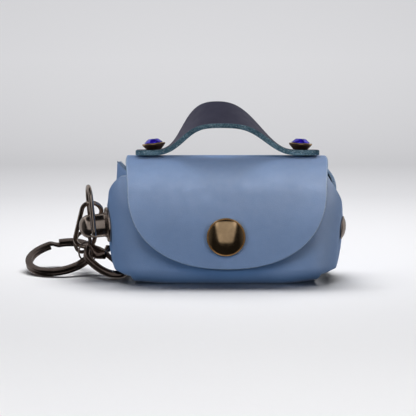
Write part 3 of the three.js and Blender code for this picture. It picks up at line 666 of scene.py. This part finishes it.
def wing_reach(wing, z, low, high):
    """How far a wing reaches past the strip at a height."""
    upper = z > RIVET_HEIGHT
    power = wing.upper if upper else wing.lower
    half = (high - RIVET_HEIGHT) / WING_TOP_SHARE if upper else (RIVET_HEIGHT - low) / WING_FOOT_SHARE
    share = abs(z - RIVET_HEIGHT) / half
    return wing.reach * (1 - share ** power) ** (1 / power)


def leather_grid():
    """Flat grid points of the leather, and the cells between them."""
    rows = grid_rows()
    edge = 1 - LOOK.edge_step / LEATHER.strip_half
    inner = [lerp(-edge, edge, k / LOOK.columns) for k in range(LOOK.columns + 1)]
    strip = [-1] + inner + [1]
    flat, cells = [], []

    def point(p, s):
        flat.append((p, s))
        return len(flat) - 1

    def add_cells(here, there, flip):
        for k in range(len(here) - 1):
            cell = (here[k], here[k + 1], there[k + 1], there[k])
            cells.append(cell[::-1] if flip else cell)

    grid = [[point(share * row.half, row.s) for share in strip] for row in rows]
    for here, there in zip(grid, grid[1:]):
        add_cells(here, there, False)
    for wing in WINGS:
        own = [(row, line_points) for row, line_points in zip(rows, grid) if row.panel == wing.panel]
        low = min(row.z for row, _ in own)
        high = max(row.z for row, _ in own)
        shares = [k / LOOK.wing_columns for k in range(1, LOOK.wing_columns)]
        shares += [1 - LOOK.edge_step / wing.reach, 1]
        lines = []
        for row, line_points in own:
            reach = wing_reach(wing, row.z, low, high)
            wing_line = [line_points[0 if wing.side < 0 else -1]]
            wing_line += [point(wing.side * (row.half + reach * share), row.s) for share in shares]
            lines.append(wing_line)
        for here, there in zip(lines, lines[1:]):
            add_cells(here, there, wing.side < 0)
    return flat, cells


# A cut edge's round: shares of the half-thickness and of the bulge
RIM = [(0.92, 0.55), (0.66, 0.9), (0, 1), (-0.66, 0.9), (-0.92, 0.55)]


def thick_sheet(name, flat, cells, point_of, thick, materials):
    """A folded sheet with both faces and a rounded wall round its cut edges, which the edge layer marks."""
    middle = [point_of(*f) for f in flat]
    normals = [sheet_normal(point_of, *f) for f in flat]
    for i, (point, normal) in enumerate(zip(middle, normals)):
        middle[i] = point + normal * LOOK.wave * noise.noise(point / LOOK.wave_length)
    count = len(flat)
    points = [m + n * thick / 2 for m, n in zip(middle, normals)]
    points += [m - n * thick / 2 for m, n in zip(middle, normals)]
    faces, kinds, edges = [], [], set()
    for a, b, c, d in cells:
        faces += [(a, b, c, d), (d + count, c + count, b + count, a + count)]
        kinds += [1, 0]
        for side in ((a, b), (b, c), (c, d), (d, a)):
            if side[::-1] in edges:
                edges.remove(side[::-1])
            else:
                edges.add(side)
    after = dict(edges)
    before = {end: start for start, end in edges}
    walls = {}
    for v in sorted(after):
        out = (middle[after[v]] - middle[before[v]]).cross(normals[v]).normalized()
        steps = []
        for high, far in RIM:
            steps.append(len(points))
            points.append(middle[v] + normals[v] * high * thick / 2 + out * far * LOOK.edge_bulge)
        walls[v] = [v] + steps + [v + count]
    for start in sorted(after):
        here, there = walls[start], walls[after[start]]
        for k in range(len(here) - 1):
            faces.append((there[k], here[k], here[k + 1], there[k + 1]))
            kinds.append(2)
    obj = mesh_object(name, (points, faces), materials, kinds)
    worn = obj.data.attributes.new("edge", "FLOAT", "POINT")
    at_edge = set(after)
    marks = [float(i in at_edge or i - count in at_edge or i >= 2 * count) for i in range(len(points))]
    worn.data.foreach_set("value", marks)
    return obj


BLUE_SIDES = [BLUE, BLUE_BACK, BLUE_EDGE]
leather = thick_sheet("leather_body", *leather_grid(), folded_point, LEATHER.thick, BLUE_SIDES)
stands_for(leather, "purse", "blue_leather", "purse_body")


# Strap handle

TOP = next(piece for piece in STRIP if piece.part == "top")
TOP_CREST = along_piece(TOP, TOP.run * LEATHER.top_rise / LEATHER.top_turn)[1] + MIDDLE
STRAP_BASE = TOP_CREST + GAP + HANDLE.thick / 2 + HANDLE.clear


def strap_point(across, along):
    share = min(abs(along) / (HANDLE.arch_left if along < 0 else HANDLE.arch_right), 1)
    near, far = share ** HANDLE.arch_gain, (1 - share) ** HANDLE.arch_gain
    lift = (1 + cos(pi * near / (near + far))) / 2
    lean = radians(HANDLE.lean) * lift
    tilt = radians(lerp(-HANDLE.settle, HANDLE.tilt, lift ** HANDLE.tilt_power))
    return Vector((
        HANDLE.shift + along - lift * (HANDLE.slip + HANDLE.skew * across),
        across * cos(tilt) - HANDLE.arch_height * lift * sin(lean),
        STRAP_BASE + HANDLE.arch_height * lift * cos(lean) + across * sin(tilt),
    ))


def strap_grid():
    half = HANDLE.rivet_half + HANDLE.tail
    straight = half - HANDLE.corner
    steps, corner_steps, columns = 72, 10, 18
    turns = [i / corner_steps * pi / 2 for i in range(corner_steps + 1)]
    ends = [straight + HANDLE.corner * sin(turn) for turn in turns]
    lengths = [-end for end in reversed(ends)]
    lengths += [lerp(-straight, straight, i / steps) for i in range(1, steps)]
    lengths += ends
    flat, cells = [], []
    for j, along in enumerate(lengths):
        past = max(abs(along) - straight, 0)
        side = HANDLE.width / 2 - HANDLE.corner + sqrt(max(HANDLE.corner ** 2 - past ** 2, 0))
        edge = side - LOOK.edge_step
        spread = [-side] + [lerp(-edge, edge, k / columns) for k in range(columns + 1)] + [side]
        for k, across in enumerate(spread):
            flat.append((across, along))
            if j and k:
                here = j * len(spread) + k
                cells.append((here - len(spread) - 1, here - len(spread), here, here - 1))
    return flat, cells


DARK_SIDES = [DARK, DARK_EDGE, DARK_EDGE]
strap = thick_sheet("handle_leather", *strap_grid(), strap_point, HANDLE.thick, DARK_SIDES)
stands_for(strap, "purse", "dark_leather", "handle_strap")


# Gem rivets: a flared cup on the strap, a faceted stone in it and a washer inside the purse

CUP_FLOOR = HANDLE.thick / 2 + 2 * GAP
CUP_SEAT = HANDLE.thick / 2 + LOOK.cup_gap
WASHER_TOP = TOP_CREST - LEATHER.thick - GEM.washer_drop - STRAP_BASE


def plate(radius, low, high, round_edge=0.2, segments=64):
    """A small disc with rounded edges."""
    return lathe(filleted([(0, high), (radius, high), (radius, low), (0, low)], round_edge), segments)


def gem_cup():
    rim, floor, top = GEM.rim, CUP_FLOOR + GEM.floor, CUP_FLOOR + GEM.cup
    outline = [
        (0, floor),
        (GEM.girdle * 0.5, floor),
        (GEM.girdle + GAP, top),
        (rim - 0.3, top + 0.25),
        (rim, top),
        (rim * 0.97, top - 0.5),
        (GEM.foot, CUP_SEAT),
        (0, CUP_SEAT),
    ]
    washer = plate(GEM.washer, WASHER_TOP - GEM.washer_thick, WASHER_TOP)
    return merged(lathe(filleted(outline, 0.25), 72), washer)


def faceted_gem():
    """A brilliant: table, star and kite facets, girdle and a plain pavilion."""
    low = CUP_FLOOR + GEM.floor + GAP
    girdle = CUP_FLOOR + GEM.cup + GAP
    sides = 8
    double = 2 * sides
    table, waist = girdle + GEM.crown, girdle + 0.25

    def ring(radius, height, count, turn=0):
        return [(radius * x, radius * y, height) for x, y in circle(count, turn)]

    kites = ring(lerp(GEM.table, GEM.girdle, 0.52), lerp(table, waist, 0.42), sides, 0.5)
    points = ring(GEM.table, table, sides) + kites
    points += ring(GEM.girdle, waist, double) + ring(GEM.girdle, girdle, double)
    points += ring(GEM.girdle * 0.5, low, double)
    faces = [tuple(range(sides)), tuple(reversed(range(len(points) - double, len(points))))]
    for k in range(sides):
        n = (k + 1) % sides
        mid, mid_next = sides + k, sides + n
        left, middle, right = double + 2 * k, double + 2 * k + 1, double + 2 * n
        faces += [(k, mid, n), (n, mid, right, mid_next), (mid, left, middle), (mid, middle, right)]
    for k in range(double):
        n = (k + 1) % double
        for upper in (double, 2 * double):
            faces.append((upper + k, upper + double + k, upper + double + n, upper + n))
    return points, faces


for side, sign in (("left", -1), ("right", 1)):
    seat = (HANDLE.shift + sign * HANDLE.rivet_half, 0, STRAP_BASE)
    roll = radians(GEM_ROLL[side])
    axis = (-sin(roll), sin(radians(HANDLE.settle)), cos(roll))
    cup = placed(gem_cup(), seat, axis)
    purse_piece(f"gem_cup_{side}", cup, BRONZE, "bronze", f"gem_setting_{side}", sharp=50)
    stone = placed(faceted_gem(), seat, axis)
    purse_piece(f"stone_{side}", stone, GLASS, "violet_glass", f"gem_{side}", sharp=1)


# Snap: domed cap with a rolled rim, socket behind the flap, stud and back plate on the front panel

FLAP_FACE = LEATHER.thick / 2 + GAP
FLAP_INSIDE = -LEATHER.thick / 2 - GAP
SOCKET_BACK = FLAP_INSIDE - SNAP.socket_thick
PANEL_FACE = -LEATHER.thick / 2 - LEATHER.flap_gap + GAP
PANEL_INSIDE = PANEL_FACE - GAP - LEATHER.thick - GAP


def domed_cap(radius, rise, low, bead, segments):
    """A dome with a rolled rim, flat below."""
    steps, rim_steps = 28, 8
    inner = radius - bead
    base = bead * 0.9
    reach = bead * 0.62
    outline = []
    for i in range(steps + 1):
        share = sin(i / steps * pi / 2)
        outline.append((inner * share, low + base + (rise - base) * (1 - share ** 2.2) ** 0.8))
    for i in range(1, rim_steps + 1):
        turn = radians(lerp(140, -90, i / rim_steps))
        outline.append((radius - reach + reach * cos(turn), low + reach + reach * sin(turn)))
    return lathe(outline + [(0, low)], segments)


snap_place = (0, FLAP_Y, SNAP.height)
forward = (0, -1, 0)
cap = merged(
    domed_cap(SNAP.cap, SNAP.cap_rise, FLAP_FACE, LOOK.snap_bead, 128),
    plate(SNAP.socket, SOCKET_BACK, FLAP_INSIDE),
)
purse_piece("snap_cap_dome", placed(cap, snap_place, forward), BRONZE, "bronze", "snap_cap", sharp=60)
snap = merged(
    plate(SNAP.stud, PANEL_FACE, SOCKET_BACK - GAP),
    plate(SNAP.back, PANEL_INSIDE - SNAP.back_thick, PANEL_INSIDE),
)
purse_piece("snap_stud_plates", placed(snap, snap_place, forward), BRONZE, "bronze", "snap_stud", sharp=60)


# Rivet through the right wings and stud through the left ones

def wing_seat(side, height):
    """A point on a front wing's outside face at a rivet, and the way that it faces there."""
    s = STRIP[1].start + LEATHER.lip_height - height
    p = BENDS["front"].start
    while folded_point(p, s).y < RIVET_DEPTH:
        p += 0.1
    normal = sheet_normal(folded_point, side * p, s)
    outward = normal if normal.x * side > 0 else -normal
    return folded_point(side * p, s) + outward * LEATHER.thick / 2, outward


right_seat, right_out = wing_seat(1, RIVET_HEIGHT - SIDE_RIVET.drop)
left_seat, left_out = wing_seat(-1, RIVET_HEIGHT)
inside_face = -2 * LEATHER.thick - LEATHER.wing_gap - GAP

rivet = merged(
    domed_cap(SIDE_RIVET.cap, SIDE_RIVET.rise, GAP, LOOK.rivet_bead, 96),
    plate(SIDE_RIVET.back, inside_face - SIDE_RIVET.back_thick, inside_face),
)
rivet = placed(rivet, right_seat, right_out)
purse_piece("side_rivet_dome", rivet, GUNMETAL, "gunmetal", "side_rivet", sharp=60)

stud_tip = GAP + STUD.flange_thick + STUD.length
neck = GAP + STUD.flange_thick


def stud_head():
    """Flange, barrel with a fine groove, and a domed end, as one turned profile."""
    shoulder = stud_tip - STUD.dome
    steps = 14
    outline = [(0, stud_tip)]
    for i in range(1, steps + 1):
        turn = radians(90 * i / steps)
        outline.append((STUD.head * sin(turn) ** 0.85, shoulder + STUD.dome * cos(turn) ** 1.1))
    barrel = [
        (STUD.head, shoulder),
        (STUD.head, shoulder - 0.3),
        (STUD.head - LOOK.stud_groove, shoulder - 0.5),
        (STUD.head, shoulder - 0.7),
        (STUD.head, neck + 0.9),
        (STUD.head + 0.5, neck),
        (STUD.flange - 0.3, neck - 0.1),
        (STUD.flange, neck - 0.5),
        (STUD.flange, GAP),
        (0, GAP),
    ]
    return lathe(outline + filleted(barrel, 0.18)[1:], 96)


stud_axis = unit(left_out)
stud_down = (Vector((0, 0, -1)) + stud_axis * stud_axis.z).normalized()
bar_axis = stud_down.cross(stud_axis).normalized()
bar_centre = left_seat + stud_axis * (stud_tip - DRING.bar_from_tip) + stud_down * DRING.bar_drop
stud = mesh_object("side_stud_head", placed(stud_head(), left_seat, left_out), [GUNMETAL])
past_stud = 12
bar_hole = plate(DRING.hole, -past_stud, past_stud, segments=40)
cut_away(stud, placed(bar_hole, bar_centre, bar_axis), 35)
stands_for(stud, "purse", "gunmetal", "side_stud")
back = placed(plate(STUD.back, inside_face - STUD.back_thick, inside_face), left_seat, left_out)
purse_piece("side_stud_back", back, GUNMETAL, "gunmetal", "side_stud", sharp=60)


# Rings

def d_outline():
    half, corner = DRING.half_width, DRING.corner
    shoulder = DRING.height - half
    return (
        line((-half + corner, 0), (half - corner, 0), 16)
        + arc(half - corner, corner, corner, -90, 0, 10)
        + line((half, corner), (half, shoulder), 16)
        + arc(0, shoulder, half, 0, 180, 48)
        + line((-half, shoulder), (-half, corner), 16)
        + arc(-half + corner, corner, corner, 180, 270, 10)
    )


def oval_outline(length, width):
    radius = width / 2
    straight = length / 2 - radius
    return (
        arc(0, straight, radius, 0, 180, 36)
        + line((-radius, straight), (-radius, -straight), 14)
        + arc(0, -straight, radius, 180, 360, 36)
        + line((radius, -straight), (radius, straight), 14)
    )


lean = radians(DRING.lean)
d_up = (-sin(lean), 0, cos(lean))
d_ring = framed(wire_loop(d_outline(), DRING.wire), bar_centre, bar_axis, d_up)
purse_piece("d_ring_wire", d_ring, GUNMETAL, "gunmetal", "d_ring")

link_lean, link_tilt = radians(LINK.lean), radians(LINK.tilt)
link_up = Vector((0, -sin(link_lean), cos(link_lean)))
link_long = link_up * cos(link_tilt) + Vector((sin(link_tilt), 0, 0))
link_wide = Vector((cos(link_tilt), 0, 0)) - link_up * sin(link_tilt)
link = wire_loop(oval_outline(LINK.length - 2 * LINK.wire, LINK.width - 2 * LINK.wire), LINK.wire)
link = framed(link, LINK.place, link_wide, link_long)
purse_piece("link_wire", link, GUNMETAL, "gunmetal", "link_ring")

jump = wire_loop(arc(0, 0, JUMP.radius, 0, 360, 72), JUMP.wire, 14)
jump = placed(jump, JUMP.place, JUMP.facing)
purse_piece("jump_wire", jump, GUNMETAL, "gunmetal", "jump_ring")


def split_coils():
    """Two flat coils with softened corners and one jog between them."""
    jog = radians(SPLIT.jog)
    half_wide, half_thick = (SPLIT.outer - SPLIT.inner) / 2, SPLIT.coil / 2
    middle = SPLIT.inner + half_wide
    soft = 0.3
    section = []
    for x, y, start in ((1, -1, -90), (1, 1, 0), (-1, 1, 90), (-1, -1, 180)):
        corner = (x * (half_wide - soft), y * (half_thick - soft))
        section += arc(*corner, soft, start, start + 90, 4) + arc(*corner, soft, start + 90, start + 91, 1)
    loops = []
    steps = 260
    for i in range(steps + 1):
        angle = lerp(jog, 4 * pi - jog, i / steps)
        level = SPLIT.pitch * (smoothstep(angle, 2 * pi - jog, 2 * pi + jog) - 0.5)
        turn = Vector((cos(angle), sin(angle), 0))
        loops.append([turn * (middle + x) + Vector((0, 0, level + y)) for x, y in section])
    return loft(loops)


split_normal = unit(SPLIT.facing)
split_right = (Vector((1, 0, 0)) - split_normal * split_normal.x).normalized()
split_back = split_normal.cross(split_right)
jog_at = radians(SPLIT.jog_at)
split_x = split_right * cos(jog_at) + split_back * sin(jog_at)
split = framed(split_coils(), SPLIT.place, split_x, split_normal.cross(split_x))
purse_piece("split_coils", split, STEEL, "dark_steel", "split_ring", sharp=40)


# Trigger clasp in its own flat frame: X from the eye to the hook's end, Y to the lever's side

clasp_axis = unit(CLASP.axis)
clasp_level = Vector((-clasp_axis.y, clasp_axis.x, 0)).normalized()
clasp_roll = radians(CLASP.roll)
clasp_side = clasp_level * cos(clasp_roll) + clasp_axis.cross(clasp_level) * sin(clasp_roll)


def in_clasp(shape):
    return framed(shape, CLASP.place, clasp_axis, clasp_side)


def cast(name, shapes, voxel):
    """Overlapping solids grown together and softened, as a casting is."""
    obj = mesh_object(name, in_clasp(merged(*shapes)), [STEEL])
    grown = obj.modifiers.new("grow", "REMESH")
    grown.mode = "VOXEL"
    grown.voxel_size = voxel * MM
    soft = obj.modifiers.new("soften", "SMOOTH")
    soft.factor = 0.5
    soft.iterations = 6
    apply_modifiers(obj)
    return obj


def box_shape(low, high):
    x, y, z = zip(low, high)
    points = [(x[i], y[j], z[k]) for i in (0, 1) for j in (0, 1) for k in (0, 1)]
    return points, [(0, 1, 3, 2), (4, 6, 7, 5), (0, 4, 5, 1), (2, 3, 7, 6), (0, 2, 6, 4), (1, 5, 7, 3)]


def pin_shape(radius, half_length):
    pin = plate(radius, -half_length, half_length, 0.12, 32)
    return in_clasp(moved(pin, Matrix.Identity(3), (CLASP.base, CLASP.pin_side, 0)))


def clasp_hook():
    length, base, side, thick = CLASP.length, CLASP.base, CLASP.pin_side, CLASP.rod
    eye_radius = CLASP.eye_hole + CLASP.eye_wire
    turn = Matrix.Rotation(pi / 2 + radians(CLASP.eye_turn), 3, "X")
    eye = moved(wire_loop(arc(0, 0, eye_radius, 0, 360, 72), CLASP.eye_wire), turn, (0, 0, 0))
    spine = -CLASP.half_width + thick
    hook = rod([
        (eye_radius, 0),
        (eye_radius + 2, spine * 0.45),
        (base, spine),
        (length * 0.62, spine - 0.3),
        (length * 0.82, spine * 0.75),
        (length - thick, 0.3),
        (length * 0.9, side + 0.9),
        (length * 0.78, side + 1.75),
    ], 90, lambda share: (lerp(1.1, 0.62, smoothstep(share, 0.55, 1)) * thick, thick))
    body = rod([
        (eye_radius, 0.2),
        (base - 2.6, 0.6),
        (base, 1),
        (base + 2.4, side - 0.2),
    ], 40, lambda share: (
        lerp(1.2, 3, smoothstep(share, 0, 0.55)) - 1.5 * smoothstep(share, 0.6, 1), thick * 1.35,
    ))
    obj = cast("clasp_body", [eye, hook, body], 0.17)
    middle = Vector((base, side, 0)) + Vector((*CLASP.slot_from_pin, 0))
    reach = Vector((*CLASP.slot_half, CLASP.slot))
    cut_away(obj, in_clasp(box_shape(middle - reach, middle + reach)), 40)
    return obj


def clasp_lever():
    length, base, side = CLASP.length, CLASP.base, CLASP.pin_side
    thick = CLASP.lever - LOOK.lever_trim
    bar = rod([
        (base - 1.3, side),
        (base + 2, side + 0.3),
        (length * 0.66, side),
        (length * 0.8, side - 0.4),
    ], 50, lambda share: (lerp(1.45, 0.75, share), thick))
    thumb = rod([
        (base + 1.2, side + 0.6),
        (base + 0.2, side + 2.6),
        (base - 0.6, side + 4.2),
    ], 30, lambda share: (lerp(1.1, 1.7, share), thick))
    obj = cast("clasp_thumb_lever", [bar, thumb], 0.14)
    cut_away(obj, pin_shape(CLASP.pin + GAP, 2 * CLASP.rod), 40)
    return obj


stands_for(clasp_hook(), "purse", "dark_steel", "clasp_hook")
purse_piece("clasp_pin", pin_shape(CLASP.pin, CLASP.rod), STEEL, "dark_steel", "clasp_hook", sharp=50)
stands_for(clasp_lever(), "lever", "dark_steel", "clasp_lever")


# Stage: a pale floor that sweeps up behind, soft light and the camera

STAGE = Sizes(half_width=1600, front=-1100, sweep_from=420, sweep_radius=300, height=1500)
CAMERA = Sizes(target=(-6.9, -17, 30.3), distance=600, elevation=8, lens=135.1)


def stage_sheet():
    radius = STAGE.sweep_radius
    wall = STAGE.sweep_from + radius
    path = [(STAGE.front, 0)] + arc(STAGE.sweep_from, radius, radius, -90, 0, 24)
    path += [(wall, radius), (wall, STAGE.height)]
    points, faces = [], []
    for i, (y, z) in enumerate(path):
        points += [(-STAGE.half_width, y, z), (STAGE.half_width, y, z)]
        if i:
            faces.append((2 * i - 2, 2 * i - 1, 2 * i + 1, 2 * i))
    return points, faces


def stage_material():
    """Pale paper with a little random tone, plus painted shade that darkens a band behind the purse and
    painted light that makes the backdrop paler.
    """
    material, tree = new_material("pale_paper")
    paper = mix(tree, patches(tree, 3, 3), rgb(233, 233, 236), rgb(236, 236, 238))
    depth = add(tree, "SeparateXYZ", {"Vector": own_place(tree)}).outputs["Y"]
    # Painted shade: the paper is darker in a band behind the purse
    paper = mix(tree, between(tree, depth, 0.03, 0.25), paper, rgb(214, 214, 217))
    # Painted light: the backdrop is paler than the floor
    paper = mix(tree, between(tree, depth, 0.4, 0.6), paper, rgb(241, 241, 244))
    return surface(material, {
        "Base Color": paper,
        "Roughness": patches(tree, 40, 2, 0.8, 0.95),
        "Normal": bump(tree, noise_of(tree, 1200, 2), 0.04, 0.0001),
        "Specular IOR Level": 0.0,
    })


floor = mesh_object("stage_floor", stage_sheet(), [stage_material()])
floor.visible_glossy = False
floor.visible_diffuse = False


def aimed(name, data, place, target):
    """A lamp or a camera at a place in millimetres, turned to a target."""
    obj = new_object(name, data)
    obj.location = Vector(place) * MM
    obj.rotation_euler = (Vector(target) - Vector(place)).to_track_quat("-Z", "Y").to_euler()
    return obj


def soft_light(name, place, target, size, power):
    """A white area lamp that the camera doesn't see."""
    lamp = bpy.data.lights.new(name, "AREA")
    lamp.shape = "RECTANGLE"
    lamp.size, lamp.size_y = (MM * s for s in size)
    lamp.energy = power
    obj = aimed(name, lamp, place, target)
    obj.visible_camera = False
    return obj


def lights_only(lamps, name, piece, state="INCLUDE"):
    """The lamps light only this piece, or all but this piece."""
    group = bpy.data.collections.new(name)
    group.objects.link(piece)
    group.collection_objects[0].light_linking.link_state = state
    for lamp in lamps:
        lamp.light_linking.receiver_collection = group


# Soft walls of light for the purse; mirrors see the world's panels in their place
walls = [
    soft_light("left_wall", (-600, -450, 160), (0, 0, 20), (300, 160), 2.8),
    soft_light("right_wall", (600, -450, 160), (0, 0, 20), (300, 160), 2.2),
    soft_light("ceiling", (0, 60, 500), (0, -10, 40), (200, 80), 0.75),
    soft_light("back_left_wall", (-300, 380, 260), (0, 0, 20), (200, 200), 0.9),
    soft_light("back_right_wall", (300, 380, 260), (0, 0, 20), (200, 200), 0.9),
]
for lamp in walls:
    lamp.visible_glossy = False
lights_only(walls, "all_but_floor", floor, "EXCLUDE")

# Lamps that show only as a sheen on the leather
sheens = [
    soft_light("sheen_top", (0, 40, 480), (0, -10, 40), (400, 160), 1.0),
    soft_light("sheen_front", (0, -110, 110), (0, -15, 40), (260, 40), 0.42),
    soft_light("sheen_right", (130, -70, 105), (40, -10, 25), (40, 80), 0.38),
    soft_light("sheen_left", (-130, -70, 105), (-40, -10, 25), (40, 80), 0.12),
]
for lamp in sheens:
    lamp.visible_diffuse = False
lights_only(sheens, "leather_only", leather)

# Light on the paper, most of it from above and behind, so that the purse's shadow falls forward
paper_lights = [
    soft_light("over_near", (10, 110, 380), (0, 20, 0), (280, 140), 1.02),
    soft_light("backdrop_wash", (0, 150, 900), (0, 700, 250), (1200, 300), 7.9),
    soft_light("front_paper", (0, -420, 380), (0, -230, 0), (900, 100), 0.24),
]
paper_lights[-1].data.spread = radians(36)
lights_only(paper_lights, "floor_only", floor)

# Strengths of the surroundings
WORLD = Sizes(panel=0.37, corner=0.7, behind=0.38, front=0.013, flank=0.07, ambient=0.03, seen=0.65)


def studio_world():
    """Faint even light, pale to the camera; mirrors see a panel that widens upward and a glow behind."""
    world = bpy.data.worlds.new("studio")
    world.use_nodes = True
    tree = world.node_tree
    tree.nodes.clear()
    way = add(tree, "TexCoord").outputs["Generated"]
    x, y, z = add(tree, "SeparateXYZ", {"Vector": way}).outputs
    side = combine(tree, "ABSOLUTE", x, 0.0)
    half_width = combine(tree, "ADD", times(tree, z, 0.3), 0.44)
    inside = between(tree, combine(tree, "SUBTRACT", half_width, side), -0.05, 0.05)
    height = times(tree, between(tree, z, -0.42, -0.3), between(tree, z, 0.87, 0.8))
    corners = times(tree, between(tree, side, 0.36, 0.52), between(tree, z, 0.25, 0.6))
    bright = between(tree, corners, 0.0, 1.0, WORLD.panel, WORLD.corner)
    panel = times(tree, times(tree, inside, height), bright)
    behind = between(tree, y, 0.0, 0.35, 0.0, WORLD.behind)
    behind = times(tree, behind, between(tree, z, 0.8, 0.5))
    flanks = between(tree, side, 0.7, 0.95, WORLD.front, WORLD.flank)
    mirror_light = combine(tree, "ADD", combine(tree, "MAXIMUM", panel, behind), flanks)
    seen = add(tree, "Background", {"Color": (0.98, 0.98, 1, 1), "Strength": mirror_light})
    path = add(tree, "LightPath")
    ambient = between(tree, path.outputs["Is Camera Ray"], 0.0, 1.0, WORLD.ambient, WORLD.seen)
    light = add(tree, "Background", {"Color": (0.97, 0.98, 1, 1), "Strength": ambient})
    glossy = path.outputs["Is Glossy Ray"]
    both = add(tree, "MixShader", {0: glossy, 1: light.outputs[0], 2: seen.outputs[0]})
    add(tree, "OutputWorld", {"Surface": both.outputs[0]})
    bpy.context.scene.world = world


studio_world()


def set_camera():
    lens = bpy.data.cameras.new("camera")
    lens.lens = CAMERA.lens
    lens.sensor_width = 36
    lens.clip_start = 0.01
    rise = radians(CAMERA.elevation)
    target = Vector(CAMERA.target)
    place = target + CAMERA.distance * Vector((0, -cos(rise), sin(rise)))
    bpy.context.scene.camera = aimed("camera", lens, place, target)


set_camera()
bpy.context.scene.view_settings.view_transform = "Standard"
